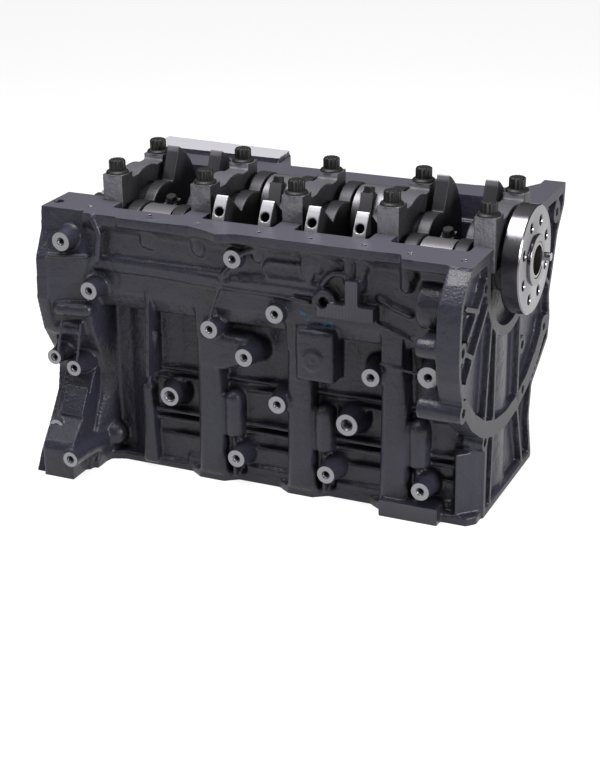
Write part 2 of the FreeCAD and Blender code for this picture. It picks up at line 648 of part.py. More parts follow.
def circlips():
    """The pair of circlips of one piston, each open at the bottom."""
    clips = []
    for side in (-1, 1):
        x = side * (GUDGEON_PIN_LENGTH / 2.0 + CIRCLIP_WIRE_R)
        gap = box(x - OVERCUT, x + OVERCUT, -CIRCLIP_WIRE_R * 2, CIRCLIP_WIRE_R * 2,
                  -GUDGEON_PIN_R - OVERCUT, 0)
        clips.append(circlip_ring(side).cut(gap))
    return Part.makeCompound(clips)


def gudgeon_pin():
    """The hollow pin between a piston and its rod."""
    return tube_x(GUDGEON_PIN_R, GUDGEON_PIN_BORE_R, -GUDGEON_PIN_LENGTH / 2.0, GUDGEON_PIN_LENGTH / 2.0)


# ---- block casting ----


def crankcase_body():
    """Cylinder block, skirt and sump rail as one section along X."""
    section = [(JACKET_FRONT_Y, 0), (JACKET_FRONT_Y, JACKET_TOP - 4), (SKIRT_FRONT_Y + 9, JACKET_TOP),
               (SKIRT_FRONT_Y + 1, JACKET_TOP + 18), (SKIRT_FRONT_Y, JACKET_TOP + 40),
               (SKIRT_FRONT_Y - 2, AXIS_Z + 6), (FRONT_RAIL_Y + 4, RAIL_Z - RAIL_THICKNESS),
               (FRONT_RAIL_Y + 4, RAIL_Z), (REAR_RAIL_Y, RAIL_Z), (REAR_RAIL_Y, RAIL_Z - 22),
               (SKIRT_REAR_Y + 6, RAIL_Z - 50), (SKIRT_REAR_Y, JACKET_TOP + 18),
               (JACKET_REAR_Y, JACKET_TOP - 20), (JACKET_REAR_Y, 0)]
    body = plate_x(section, WALL_X0, FLYWHEEL_FACE_X - BELL_FLANGE_WIDTH / 2.0)
    barrel_r = BORE_R + LINER_WALL + WATER_GAP + BARREL_WALL
    barrels = fuse([rod_z(barrel_r, x, 0, 0, JACKET_TOP) for x in CYLINDER_X])
    barrels = barrels.common(box(WALL_X0, FLYWHEEL_FACE_X - END_FACE_RELIEF - 3.0, -barrel_r, barrel_r,
                                 0, JACKET_TOP))
    return body.fuse(barrels)


def deck_flange():
    """The stepped foot of the deck, which widens at each bolt pillar."""
    rim = DECK_RIM_Y
    swell = DECK_RIM_Y - 9.0
    outline = [(WALL_X0, JACKET_REAR_Y + 6), (WALL_X0, rim - 8), (WALL_X0 + 22, rim)]
    for x in PILLAR_X:
        outline += [(x - PILLAR_WIDTH * 0.9, rim), (x - PILLAR_WIDTH * 0.45, swell),
                    (x + PILLAR_WIDTH * 0.45, swell), (x + PILLAR_WIDTH * 0.9, rim)]
    outline[-1] = (PILLAR_X[-1] + PILLAR_WIDTH * 0.9, swell - 1)
    end_x = FLYWHEEL_FACE_X - 2.0
    outline += [(end_x - 8, swell - 1), (end_x, swell + 8), (end_x, FLOOR_CORNER_Y), (WALL_X0, FLOOR_CORNER_Y)]
    return plate_z(outline[1:], 0, DECK_FLANGE_HEIGHT)


def rounded_prism_y(outline, face_y, back_y, radius):
    """A prism along Y with its front edges rounded."""
    solid = plate_y(outline, face_y, back_y)
    edges = [e for e in solid.Edges if all(abs(v.Y - face_y) < 1e-6 for v in e.Vertexes)]
    return solid.makeFillet(radius, edges)


def pillars():
    """Bolt pillars on the water jacket, each a little wider at its foot."""
    solids = []
    for x in PILLAR_X:
        half = PILLAR_WIDTH / 2.0
        outline = [(x - half + 2, PILLAR_TOP), (x - half, DECK_FLANGE_HEIGHT - 4),
                   (x + half + 3, DECK_FLANGE_HEIGHT - 4), (x + half - 3, PILLAR_TOP)]
        solids.append(rounded_prism_y(outline, PILLAR_FACE_Y, JACKET_FRONT_Y + 4, 8.0))
        solids.append(plate_x([(PILLAR_FACE_Y, PILLAR_TOP - 14), (SKIRT_FRONT_Y + 1, PILLAR_TOP + 22),
                               (JACKET_FRONT_Y + 4, PILLAR_TOP + 22), (JACKET_FRONT_Y + 4, PILLAR_TOP - 14)],
                              x - half + 3, x + half - 4))
    end_x = MAIN_X[0] + 45.0
    solids.append(rounded_prism_y([(end_x - 6, 92), (end_x - 8, 4), (end_x + 9, 4), (end_x + 6, 92)],
                                  PILLAR_FACE_Y + 5, JACKET_FRONT_Y + 4, 5.0))
    return solids


def core_towers():
    """Round-topped towers beside the pillars, with a thin rib running down from each."""
    solids = []
    for x in PILLAR_X:
        tower_x = x + BULB_OFFSET_X
        tower = rod_z(BULB_R, tower_x, BULB_AXIS_Y, BULB_FOOT, BULB_TOP)
        solids.append(tower.fuse(Part.makeSphere(BULB_R, V(tower_x, BULB_AXIS_Y, BULB_TOP))))
        solids.append(box(tower_x - 6, tower_x + 6, BULB_AXIS_Y, JACKET_FRONT_Y + 4, BULB_FOOT - 30, BULB_TOP))
        solids.append(box(tower_x - 1.8, tower_x + 1.8, PILLAR_FACE_Y + 4, JACKET_FRONT_Y + 4, 6, BULB_TOP))
    return solids


def jacket_ribs():
    """Low level ribs across the water jacket between the pillars."""
    solids = []
    spans = [(MAIN_X[0] + 52, PILLAR_X[0]), (PILLAR_X[0], PILLAR_X[1]), (PILLAR_X[1], PILLAR_X[2]),
             (PILLAR_X[2], FLYWHEEL_FACE_X - 12)]
    for x0, x1 in spans:
        for z in (JACKET_RIB_Z, JACKET_RIB_Z + JACKET_RIB_STEP):
            solids.append(box(x0, x1, BELT_Y - 3.0, JACKET_FRONT_Y + 4, z, z + 4))
        for z in (JACKET_RIB_Z + 45, JACKET_RIB_Z + 55):
            solids.append(box(x0, x1, BELT_Y, JACKET_FRONT_Y + 4, z, z + 3.5))
        solids.append(box(x0, x1, BELT_Y, JACKET_FRONT_Y + 4, 0, JACKET_RIB_Z - 14))
        solids.append(box(x0 + 34, x1, BELT_Y - 4, JACKET_FRONT_Y + 4, 0, JACKET_RIB_Z - 34))
    return solids


def skirt_ribs():
    """The pair of long ribs along the skirt."""
    solids = []
    upper_z = AXIS_Z - 20.0
    lower_z = AXIS_Z - 28.5
    for x0, x1 in ((MAIN_X[0] + 6, MAIN_X[1] + 45), (MAIN_X[2] - 38, MAIN_X[2] + 48)):
        solids.append(rod_x(2.6, x0, x1, SKIRT_FRONT_Y - 1.5, upper_z))
    solids.append(rod_x(2.6, WALL_X0, MAIN_X[2] + 42, SKIRT_FRONT_Y - 1.5, lower_z))
    solids.append(box(WALL_X0, MAIN_X[2] + 46, SKIRT_FRONT_Y - 1.0, SKIRT_FRONT_Y + 6, lower_z, upper_z))
    return solids


def rail_bolt_bosses():
    """Round-ended bosses hanging under the rail at its bolts."""
    solids = []
    for number, offset, y in RAIL_BOLT_PLACES[1:7]:
        x = MAIN_X[number] + offset
        foot = RAIL_Z - RAIL_BOLT_BOSS_DEPTH
        axis_y = SKIRT_FRONT_Y - 1.0
        solids.append(rod_z(RAIL_BOLT_BOSS_R, x, axis_y, foot, RAIL_Z - 2))
        solids.append(Part.makeSphere(RAIL_BOLT_BOSS_R, V(x, axis_y, foot)))
    return solids


def rail_plate():
    """The sump rail: a flat flange with a wavy outer edge."""
    front = FRONT_RAIL_Y
    outline = [(TIMING_FACE_X, front + 9), (MAIN_X[0], front + 22), (MAIN_X[0] + 12, front + 12),
               (MAIN_X[0] + 33, front + 1), (MAIN_X[1] - 26, front + 1), (MAIN_X[1] + 10, front + 4),
               (MAIN_X[1] + 28, front - 2), (MAIN_X[1] + 46, front - 10), (MAIN_X[1] + 62, front - 3),
               (MAIN_X[2] - 14, front - 2), (MAIN_X[2] + 32, front - 2), (MAIN_X[3] - 18, front - 2),
               (MAIN_X[3] + 33, front), (MAIN_X[3] + 38, front - 12), (FLYWHEEL_FACE_X - 3, front - 14),
               (FLYWHEEL_FACE_X, front - 12), (FLYWHEEL_FACE_X, REAR_RAIL_Y + 48),
               (FLYWHEEL_FACE_X - 14, REAR_RAIL_Y + 48), (FLYWHEEL_FACE_X - 34, REAR_RAIL_Y + 14),
               (FLYWHEEL_FACE_X - 52, REAR_RAIL_Y + 6), (MAIN_X[2] + 40, REAR_RAIL_Y - 2),
               (MAIN_X[1] + 16, REAR_RAIL_Y - 4), (MAIN_X[1] - 4, REAR_RAIL_Y + 40),
               (TIMING_FACE_X, REAR_RAIL_Y + 48)]
    plate = plate_z(outline, RAIL_Z - RAIL_THICKNESS, RAIL_Z)
    pad = plate_z([(TIMING_FACE_X, REAR_RAIL_Y + 4), (MAIN_X[1] - 2, REAR_RAIL_Y + 4),
                   (MAIN_X[1] - 4, REAR_RAIL_Y + 38), (TIMING_FACE_X, REAR_RAIL_Y + 46)], RAIL_Z - RAIL_THICKNESS, RAIL_Z + REAR_PAD_RISE)
    return [plate, pad]


def chain_x(points, width, x0, x1):
    """Upright ribs across X that follow a line of (y, z) points."""
    solids = []
    for (ya, za), (yb, zb) in zip(points[:-1], points[1:]):
        length = math.hypot(yb - ya, zb - za)
        bar = box(x0, x1, 0, length, -width / 2.0, width / 2.0)
        solids.append(placed(bar, math.degrees(math.atan2(zb - za, yb - ya)), ya, za))
        solids.append(rod_x(width / 2.0, x0, x1, ya, za))
    solids.append(rod_x(width / 2.0, x0, x1, *points[-1]))
    return solids


def timing_end():
    """The flange for the timing cover, flared out from the side walls."""
    flange_back = TIMING_FACE_X + TIMING_FLANGE_WIDTH
    solids = [plate_x(TIMING_FRONT + TIMING_REAR[::-1], TIMING_FACE_X, flange_back)]
    wires = []
    for x, share in FLARE_STEPS:
        outline = []
        for y, z in TIMING_FRONT:
            wall = SKIRT_FRONT_Y if z > JACKET_TOP + 20 else JACKET_FRONT_Y
            outline.append(V(x, wall + share * (y - wall), z))
        for y, z in TIMING_REAR[::-1]:
            wall = SKIRT_REAR_Y if z > JACKET_TOP else JACKET_REAR_Y
            outline.append(V(x, wall + share * (y - wall), z))
        wires.append(Part.makePolygon(outline + outline[:1]))
    solids.append(Part.makeLoft(wires, True, True))
    foot_end = TIMING_FACE_X + 46.0
    foot = [(JACKET_FRONT_Y, 112), (-92, 96), (-112, 62), (-140, 38), (-144, 30), (-144, 0), (JACKET_FRONT_Y, 0)]
    solids.append(plate_x(foot, TIMING_FACE_X + TIMING_FLANGE_WIDTH, foot_end))
    toe = [(JACKET_FRONT_Y, 34), (-82, 30), (-98, 22), (-110, 8), (-110, 0), (JACKET_FRONT_Y, 0)]
    solids.append(plate_x(toe, foot_end, foot_end + 10))
    solids.append(Part.makeSphere(13.0, V(foot_end + 12, -74, 26)))
    step = [(-104, 88), (-116, 68), (-120, 60), (-104, 50)]
    solids.append(plate_x(step, TIMING_FACE_X + 20, foot_end))
    solids.append(rod_x(9.5, TIMING_FACE_X + 8, TIMING_FACE_X + 42, -98, AXIS_Z - 98))
    return solids


def bell_end():
    """The flywheel end: a floor with a rim, the seal arch and stiffening ribs standing on it."""
    floor_x = FLYWHEEL_FACE_X - END_FACE_RELIEF
    rib_x = floor_x - 2.0
    solids = [plate_x(BELL_FRONT + BELL_REAR[::-1], floor_x - 5, floor_x)]
    inset = FACE_RIB / 2.0
    front_rim = [(y + inset, z) for y, z in BELL_FRONT]
    rear_rim = [(y - inset, z) for y, z in BELL_REAR]
    front_rim[0] = (front_rim[0][0], RAIL_Z - inset)
    rear_rim[0] = (rear_rim[0][0], RAIL_Z - inset)
    front_rim[-1] = (front_rim[-1][0], inset)
    rear_rim[-1] = (rear_rim[-1][0], inset)
    solids += chain_x(front_rim, FACE_RIB, rib_x, FLYWHEEL_FACE_X)
    solids += chain_x(rear_rim, FACE_RIB, rib_x, FLYWHEEL_FACE_X)
    solids += chain_x([front_rim[-1], rear_rim[-1]], FACE_RIB, rib_x, FLYWHEEL_FACE_X)
    arch = tube_x(SEAL_ARCH_R + SEAL_ARCH_WALL, SEAL_ARCH_R, rib_x, FLYWHEEL_FACE_X, 0, AXIS_Z)
    reach = SEAL_ARCH_R + SEAL_ARCH_WALL + OVERCUT
    solids.append(arch.common(box(rib_x, FLYWHEEL_FACE_X, -reach, reach, AXIS_Z - reach, RAIL_Z)))
    bell_arc = []
    for step in range(9):
        turn = math.radians(-141.0 + step * 12.5)
        bell_arc.append((BELL_RADIUS * math.cos(turn), AXIS_Z + BELL_RADIUS * math.sin(turn)))
    solids += chain_x(bell_arc, BELL_ARC_WIDTH, rib_x, FLYWHEEL_FACE_X)
    solids.append(rod_z(BORE_R + END_WALL, CYLINDER_X[-1], 0, DECK_FLANGE_HEIGHT, JACKET_TOP))
    solids.append(Part.makeSphere(BORE_R + END_WALL, V(CYLINDER_X[-1], 0, JACKET_TOP - END_WALL)))
    arch_r = SEAL_ARCH_R + SEAL_ARCH_WALL / 2.0
    spokes = [((-42, -62), (-42, -BELL_RADIUS)), ((-42, -BELL_RADIUS), (-46, 4 - AXIS_Z)),
              ((34, -66), (34, -BELL_RADIUS)), ((-arch_r, -26), (-128, -80)), ((-arch_r, 2), (-127, -40)),
              ((-98, -22), (-133, -8)), ((-112, -62), (-134, -50)), ((arch_r, -20), (132, -70)),
              ((-58, -50), (-70, -BELL_RADIUS + 16)), ((34, -BELL_RADIUS), (60, 4 - AXIS_Z))]
    for (ya, za), (yb, zb) in spokes:
        solids += chain_x([(ya, AXIS_Z + za), (yb, AXIS_Z + zb)], FACE_RIB - 1.0, rib_x, FLYWHEEL_FACE_X)
    for y, z, radius in END_BOSSES:
        solids.append(rod_x(radius, rib_x, FLYWHEEL_FACE_X, y, AXIS_Z + z))
    corner = plate_z([(floor_x - 12, JACKET_FRONT_Y), (floor_x - 4, -88), (FLYWHEEL_FACE_X, -CORNER_INSET_Y),
                      (FLYWHEEL_FACE_X, -CORNER_INSET_Y + FACE_RIB), (floor_x - 12, -CORNER_INSET_Y + FACE_RIB)],
                     0, CORNER_TOP)
    solids.append(corner)
    top = [(FRONT_RAIL_Y - 11, RAIL_Z - RAIL_THICKNESS), (FRONT_RAIL_Y - 11, RAIL_Z),
           (REAR_RAIL_Y + 47, RAIL_Z), (REAR_RAIL_Y + 47, RAIL_Z - RAIL_THICKNESS)]
    solids.append(plate_x(top, floor_x - 5, FLYWHEEL_FACE_X))
    return solids


def bell_ears():
    """The barrel, round bolt bosses and back of the flange on the front side of the flywheel end."""
    back = FLYWHEEL_FACE_X - BELL_FLANGE_WIDTH + 4
    inner = [(y + 4, z) for y, z in BELL_FRONT[1:9]]
    solids = [plate_x([(-116, RAIL_Z - 4)] + inner + [(JACKET_FRONT_Y, AXIS_Z - 136), (JACKET_FRONT_Y, RAIL_Z - 4)],
                      back, FLYWHEEL_FACE_X - 8)]
    solids.append(rod_x(24.0, MAIN_X[4] - 45, back + 2, -98, AXIS_Z - 20))
    solids.append(box(MAIN_X[4] - 44, back + 2, -112, SKIRT_FRONT_Y + 8, AXIS_Z + 5, AXIS_Z + 14))
    for y, z, radius in BELL_EARS:
        solids.append(rod_x(radius, BELL_EAR_X0, FLYWHEEL_FACE_X, y, z))
        solids.append(plate_y([(BELL_EAR_X0, z - radius + 3), (back + 2, z - radius + 3), (back + 2, z + radius - 3),
                               (BELL_EAR_X0, z + radius - 3)], y, JACKET_FRONT_Y))
    rear = [(REAR_RAIL_Y + 47, RAIL_Z - 4), (156, AXIS_Z - 20), (142, AXIS_Z - 60), (134, AXIS_Z - 80),
            (138, AXIS_Z - 126), (84, AXIS_Z - 158), (JACKET_REAR_Y, AXIS_Z - 158), (JACKET_REAR_Y, RAIL_Z - 4)]
    solids.append(plate_x(rear, back, FLYWHEEL_FACE_X - 8))
    return solids


def side_boss(x, z, face_y, radius):
    """A round boss on the front wall with a conical root."""
    root = JACKET_FRONT_Y + 3
    length = root - face_y
    stem = rod_y(radius, x, face_y, root, z)
    cone = Part.makeCone(radius + 6.0, radius, length - 2.5, V(x, root, z), V(0, -1, 0))
    return [stem, cone]


def boss_places():
    """Every boss on the front side as (x, z, face y, radius, hole radius)."""
    places = []
    for n, (number, offset, z, face_y, radius) in enumerate(SIDE_BOSSES):
        hole = PLAIN_HOLE_R if n in PLAIN_HOLE_BOSSES else BOSS_THREAD_R
        places.append((MAIN_X[number] + offset, z, face_y, radius, hole))
    for offset, z, face_y, radius in FLARE_BOSSES:
        places.append((TIMING_FACE_X + offset, z, face_y, radius, BOSS_THREAD_R))
    return places


def front_details():
    """Bosses, the T-shaped bracket, the sensor box and the casting plate on the front wall."""
    solids = []
    for x, z, face_y, radius, hole in boss_places():
        solids += side_boss(x, z, face_y, radius)
    mid = MAIN_X[2]
    solids.append(plate_y([(mid + 47, AXIS_Z - 45), (mid + 105, AXIS_Z - 45), (mid + 105, AXIS_Z - 31),
                           (mid + 89, AXIS_Z - 31), (mid + 89, AXIS_Z - 6), (mid + 76, AXIS_Z - 6),
                           (mid + 76, AXIS_Z - 31), (mid + 47, AXIS_Z - 31)], BRACKET_FACE_Y, SKIRT_FRONT_Y + 8))
    solids.append(rod_y(12.0, mid + 53, BRACKET_FACE_Y + 3, SKIRT_FRONT_Y + 8, AXIS_Z - 32))
    solids.append(rounded_prism_y([(mid + 20, AXIS_Z - 118), (mid + 60, AXIS_Z - 118),
                                   (mid + 60, AXIS_Z - 64), (mid + 20, AXIS_Z - 64)],
                                  -98, JACKET_FRONT_Y + 3, 6.0))
    ring = rod_y(8.0, mid + 39, -99.5, -95, AXIS_Z - 95).cut(rod_y(4.5, mid + 39, -101, -97, AXIS_Z - 95))
    solids.append(ring)
    solids.append(rod_y(8.5, mid - 2, SKIRT_FRONT_Y - 3.5, SKIRT_FRONT_Y + 5, AXIS_Z - 9))
    solids.append(rod_y(8.5, mid + 31, SKIRT_FRONT_Y - 3.5, SKIRT_FRONT_Y + 5, AXIS_Z - 9))
    solids.append(box(mid - 2, mid + 31, SKIRT_FRONT_Y - 3.5, SKIRT_FRONT_Y + 5, AXIS_Z - 17.5, AXIS_Z - 0.5))
    shoulder = [(PILLAR_X[0] - 12, 162), (PILLAR_X[0] + 44, 160), (PILLAR_X[0] + 46, 134), (PILLAR_X[0] + 16, 122),
                (PILLAR_X[0] - 12, 122)]
    solids.append(rounded_prism_y(shoulder, PILLAR_FACE_Y - 1, JACKET_FRONT_Y + 3, 6.0))
    foot_x = MAIN_X[3] + 10
    solids.append(box(foot_x, foot_x + 60, -99, JACKET_FRONT_Y, 0, 17))
    tip = plate_x([(-101, AXIS_Z - 140), (-92, AXIS_Z - 30), (JACKET_FRONT_Y, AXIS_Z - 30),
                   (JACKET_FRONT_Y, AXIS_Z - 140)], MAIN_X[0] + 53, MAIN_X[0] + 57)
    solids.append(tip)
    return solids


def crankcase_cavity():
    """What the crank, rods and shaft turn in: the bays between the bulkheads, and the timing chest."""
    cutters = []
    half_bulk = BULKHEAD_WIDTH / 2.0
    for x in CYLINDER_X:
        x0 = x - BORE_PITCH / 2.0 + half_bulk
        x1 = x + BORE_PITCH / 2.0 - half_bulk
        round_part = rod_x(CRANKCASE_R, x0, x1, 0, AXIS_Z)
        wide = box(x0, x1, SKIRT_FRONT_Y + SKIRT_WALL, CRANKCASE_HALF_WIDTH, AXIS_Z - 52, RAIL_Z - RAIL_LIP)
        throat = box(x0, x1, -RAIL_INNER_FRONT, RAIL_INNER_REAR, AXIS_Z, RAIL_Z + REAR_PAD_RISE + OVERCUT)
        cutters += [round_part, wide, throat]
    chest = box(TIMING_FACE_X - OVERCUT, MAIN_X[0] - half_bulk, CHEST_FRONT_Y, CHEST_REAR_Y,
                CHEST_FLOOR, RAIL_Z + REAR_PAD_RISE + OVERCUT)
    cutters.append(chest)
    return cutters


def bearing_cuts():
    """Main bearing tunnel, cap registers and the holes for the cap bolts."""
    cutters = [rod_x(HOUSING_R, MAIN_X[0] - BULKHEAD_WIDTH, FLYWHEEL_FACE_X + OVERCUT, 0, AXIS_Z)]
    half = BULKHEAD_WIDTH / 2.0
    for x in CAP_X:
        cutters.append(box(x - half - OVERCUT, x + half + OVERCUT, -CAP_REGISTER_HALF_WIDTH,
                           CAP_REGISTER_HALF_WIDTH, AXIS_Z, RAIL_Z + OVERCUT))
        for side in (-1, 1):
            cutters.append(rod_z(MAIN_BOLT_R, x, side * CAP_BOLT_SPACING / 2.0,
                                 AXIS_Z - MAIN_BOLT_REACH, AXIS_Z + OVERCUT))
    cutters.append(rod_x(SEAL_ARCH_R, FLYWHEEL_FACE_X - 8.0, FLYWHEEL_FACE_X + OVERCUT, 0, AXIS_Z))
    return cutters


def cylinder_cuts():
    """Cylinder bores, and the water jacket round them with its holes through the deck."""
    cutters = [rod_z(BORE_R, x, 0, -OVERCUT, AXIS_Z) for x in CYLINDER_X]
    liner_r = BORE_R + LINER_WALL
    water = fuse([rod_z(liner_r + WATER_GAP, x, 0, WATER_FLOOR, WATER_TOP) for x in CYLINDER_X])
    liners = fuse([rod_z(liner_r, x, 0, WATER_FLOOR - OVERCUT, WATER_TOP + OVERCUT) for x in CYLINDER_X])
    inner_x = CYLINDER_X[-1] + BORE_R - 8.0
    cutters.append(water.cut(liners).common(box(-inner_x, inner_x, -BORE, BORE, 0, WATER_TOP)))
    for x in CYLINDER_X:
        for side in (-1, 1):
            cutters.append(rod_z(WATER_HOLE_R, x, side * (liner_r + WATER_GAP / 2.0), -OVERCUT,
                                 WATER_FLOOR + OVERCUT))
    for x in MAIN_X:
        bolt_x = max(x, MAIN_X[0] + 4) if x < 0 else min(x, MAIN_X[-1] - 8)
        for side in (-1, 1):
            cutters.append(rod_z(HEAD_BOLT_R, bolt_x, side * HEAD_BOLT_OFFSET_Y, -OVERCUT, HEAD_BOLT_DEPTH))
    return cutters


def small_holes():
    """Threaded holes of the bosses, rail, flywheel face and timing face, and the core plug seats."""
    cutters = []
    for x, z, face_y, radius, hole in boss_places():
        cutters.append(rod_y(hole, x, face_y - OVERCUT, face_y + BOSS_HOLE_DEPTH, z))
    cutters.append(rod_y(5.0, MAIN_X[2] + 53, BRACKET_FACE_Y - OVERCUT, SKIRT_FRONT_Y, AXIS_Z - 32))
    for number, offset, y in RAIL_BOLT_PLACES:
        cutters.append(rod_z(RAIL_BOLT_R, MAIN_X[number] + offset, y, RAIL_Z - RAIL_BOLT_DEPTH, RAIL_Z + OVERCUT))
    cutters.append(rod_z(5.0, TIMING_FACE_X + 8, -76, RAIL_Z - RAIL_BOLT_DEPTH, RAIL_Z + OVERCUT))
    for x in MAIN_X[1:]:
        cutters.append(rod_z(RAIL_BOLT_R, x - 30, REAR_RAIL_Y - 14, RAIL_Z - RAIL_BOLT_DEPTH,
                             RAIL_Z + REAR_PAD_RISE + OVERCUT))
    for y, z, radius in END_BOSSES:
        cutters.append(rod_x(END_BOLT_R, FLYWHEEL_FACE_X - END_BOLT_DEPTH, FLYWHEEL_FACE_X + OVERCUT, y,
                             AXIS_Z + z))
    for x in CYLINDER_X:
        cutters.append(rod_y(CORE_PLUG_R, x, JACKET_REAR_Y - CORE_PLUG_DEPTH, JACKET_REAR_Y + OVERCUT,
                             CORE_PLUG_Z))
    return cutters


def block_casting():
    """The whole cast and machined block."""
    solids = [crankcase_body(), deck_flange()]
    for group in (rail_plate(), pillars(), core_towers(), jacket_ribs(), skirt_ribs(), rail_bolt_bosses(),
                  timing_end(), bell_end(), bell_ears(), front_details()):
        solids += group
    body = solids[0].fuse(solids[1:])
    for group in (crankcase_cavity(), cylinder_cuts(), bearing_cuts(), small_holes()):
        body = body.cut(Part.makeCompound(group))
    return body


def core_plugs():
    """Pressed cups that close the casting's core holes on the rear wall."""
    cups = []
    for x in CYLINDER_X:
        cup = rod_y(CORE_PLUG_R, x, JACKET_REAR_Y - CORE_PLUG_DEPTH, JACKET_REAR_Y - 1.0, CORE_PLUG_Z)
        cups.append(cup.cut(rod_y(CORE_PLUG_R - 1.8, x, JACKET_REAR_Y - CORE_PLUG_DEPTH + 2.0, JACKET_REAR_Y,
                                  CORE_PLUG_Z)))
    return Part.makeCompound(cups)


# ---- write every piece ----

save("block_casting", block_casting())
save("crankshaft", crankshaft())
save("flange_dowel", flange_dowel())
save("pilot_bush", pilot_bush())
save("nose_key", nose_key())
save("main_bolts", main_bolts())
save("thrust_washers", thrust_washers())
save("core_plugs", core_plugs())
for n in range(CYLINDERS + 1):
    save("main_cap_%d" % (n + 1), main_cap(n))
    save("main_shells_%d" % (n + 1), main_shells(n))
for n in range(CYLINDERS):
    label = "_%d" % (n + 1)
    pin_y, pin_z = pin_place(n)
    for name, shape in (("connecting_rod", connecting_rod()), ("rod_cap", rod_cap()),
                        ("rod_bolts", rod_bolts()), ("rod_shells", rod_shells()),
                        ("small_end_bush", small_end_bush())):
        save(name + label, placed(shape, rod_lean(n), pin_y, pin_z, CYLINDER_X[n]))
    for name, shape in (("piston", piston()), ("piston_rings", piston_rings()), ("circlips", circlips()),
                        ("gudgeon_pin", gudgeon_pin())):
        save(name + label, placed(shape, 0, 0, gudgeon_z(n), CYLINDER_X[n]))
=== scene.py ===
import json
import math

import bmesh
import bpy
import numpy as np
from mathutils import Matrix, Vector


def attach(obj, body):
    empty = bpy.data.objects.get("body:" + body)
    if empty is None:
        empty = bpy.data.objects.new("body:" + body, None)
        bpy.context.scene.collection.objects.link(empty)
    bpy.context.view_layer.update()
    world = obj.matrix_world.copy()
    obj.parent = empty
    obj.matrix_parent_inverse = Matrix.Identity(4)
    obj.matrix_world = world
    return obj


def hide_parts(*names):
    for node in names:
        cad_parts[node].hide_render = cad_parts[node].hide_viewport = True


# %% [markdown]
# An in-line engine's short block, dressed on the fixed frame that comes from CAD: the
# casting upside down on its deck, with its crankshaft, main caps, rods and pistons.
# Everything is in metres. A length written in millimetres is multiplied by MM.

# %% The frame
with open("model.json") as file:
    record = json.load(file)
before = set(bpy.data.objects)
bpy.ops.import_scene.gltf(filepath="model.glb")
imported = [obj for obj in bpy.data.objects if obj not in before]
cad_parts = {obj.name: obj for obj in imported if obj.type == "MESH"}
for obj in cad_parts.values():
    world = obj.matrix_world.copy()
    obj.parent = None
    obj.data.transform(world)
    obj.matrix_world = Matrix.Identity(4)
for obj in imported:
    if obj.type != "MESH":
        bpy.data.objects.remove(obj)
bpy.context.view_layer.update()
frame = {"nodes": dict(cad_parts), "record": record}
MM = 0.001
nodes = frame["nodes"]
scene = bpy.context.scene

# %% [markdown]
# The block stands on its deck face, upside down, with the crank axis along X.
# These few places are repeated from the solids, because every finish and fitting
# below is set out from them.

# %% Driving places, in millimetres
AXIS = 246.0                                # crank axis above the deck
RAIL = 272.0                                # machined sump rail
REAR_PAD = RAIL + 5.0                       # the raised pad behind the rail
BELL_FACE = 204.0
TIMING_FACE = -254.0
MAIN_X = [(n - 2) * 98.0 for n in range(5)]
CAP_X = MAIN_X[:4] + [193.0]
CYLINDER_X = [(n - 1.5) * 98.0 for n in range(4)]
BORE_R = 44.0
FLANGE_FACE, FLANGE_R = 226.0, 52.5
SEAT = 298.0                                # where the main bolts bear on the caps
BOLT_Y = 43.0
BRACKET_FACE, FOOT_FACE = -107.0, -99.0

# %% [markdown]
# The camera stands in front of the bossed side and looks down on it. Its turn is
# written as yaw, pitch and roll, because those are what a tripod head has.

# %% Camera
YAW, PITCH, ROLL = (math.radians(a) for a in (24.04, -22.395, -0.637))
camera = bpy.data.objects.new("camera", bpy.data.cameras.new("camera"))
scene.collection.objects.link(camera)
camera.location = (664.11 * MM, -1523.24 * MM, 775.23 * MM)
level = Matrix.Rotation(YAW, 3, "Z") @ Matrix.Rotation(math.radians(90) + PITCH, 3, "X")
camera.rotation_euler = (level @ Matrix.Rotation(ROLL, 3, "Z")).to_euler()
camera.data.lens = 82.89
camera.data.shift_x = -0.0031
camera.data.shift_y = -0.0044
scene.camera = camera
scene.view_settings.view_transform = "Standard"
print("camera at", [round(v, 3) for v in camera.location])

# %% [markdown]
# Two small helpers carry every material: one turns a hex colour to linear light,
# and one adds a node, sets it and links it. Both also serve the Geometry Nodes tree.


# %% Helpers for node trees
def colour(text):
    """An sRGB hex value as linear RGBA."""
    channels = [int(text[i:i + 2], 16) / 255 for i in (1, 3, 5)]
    linear = [c / 12.92 if c <= 0.04045 else ((c + 0.055) / 1.055) ** 2.4 for c in channels]
    return (*linear, 1.0)


def add(tree, kind, settings=None, **links):
    """Adds a node, sets its properties and sockets, and links its inputs."""
    node = tree.nodes.new(kind)
    for key, value in (settings or {}).items():
        if key in node.inputs:
            node.inputs[key].default_value = value
        elif key[0] == "i" and key[1:].isdigit():
            node.inputs[int(key[1:])].default_value = value
        else:
            setattr(node, key, value)
    for key, source in links.items():
        name = int(key[1:]) if key[0] == "i" and key[1:].isdigit() else key.replace("_", " ")
        tree.links.new(source, node.inputs[name])
    return node


def fresh(name):
    """An empty material and its tree."""
    material = bpy.data.materials.new(name)
    material.use_nodes = True
    material.node_tree.nodes.clear()
    return material, material.node_tree


def compute(tree, operation, *values):
    """A sum on sockets and plain numbers."""
    node = add(tree, "ShaderNodeMath", {"operation": operation})
    for socket, value in zip(node.inputs, values):
        if isinstance(value, (int, float)):
            socket.default_value = value
        else:
            tree.links.new(value, socket)
    return node.outputs[0]


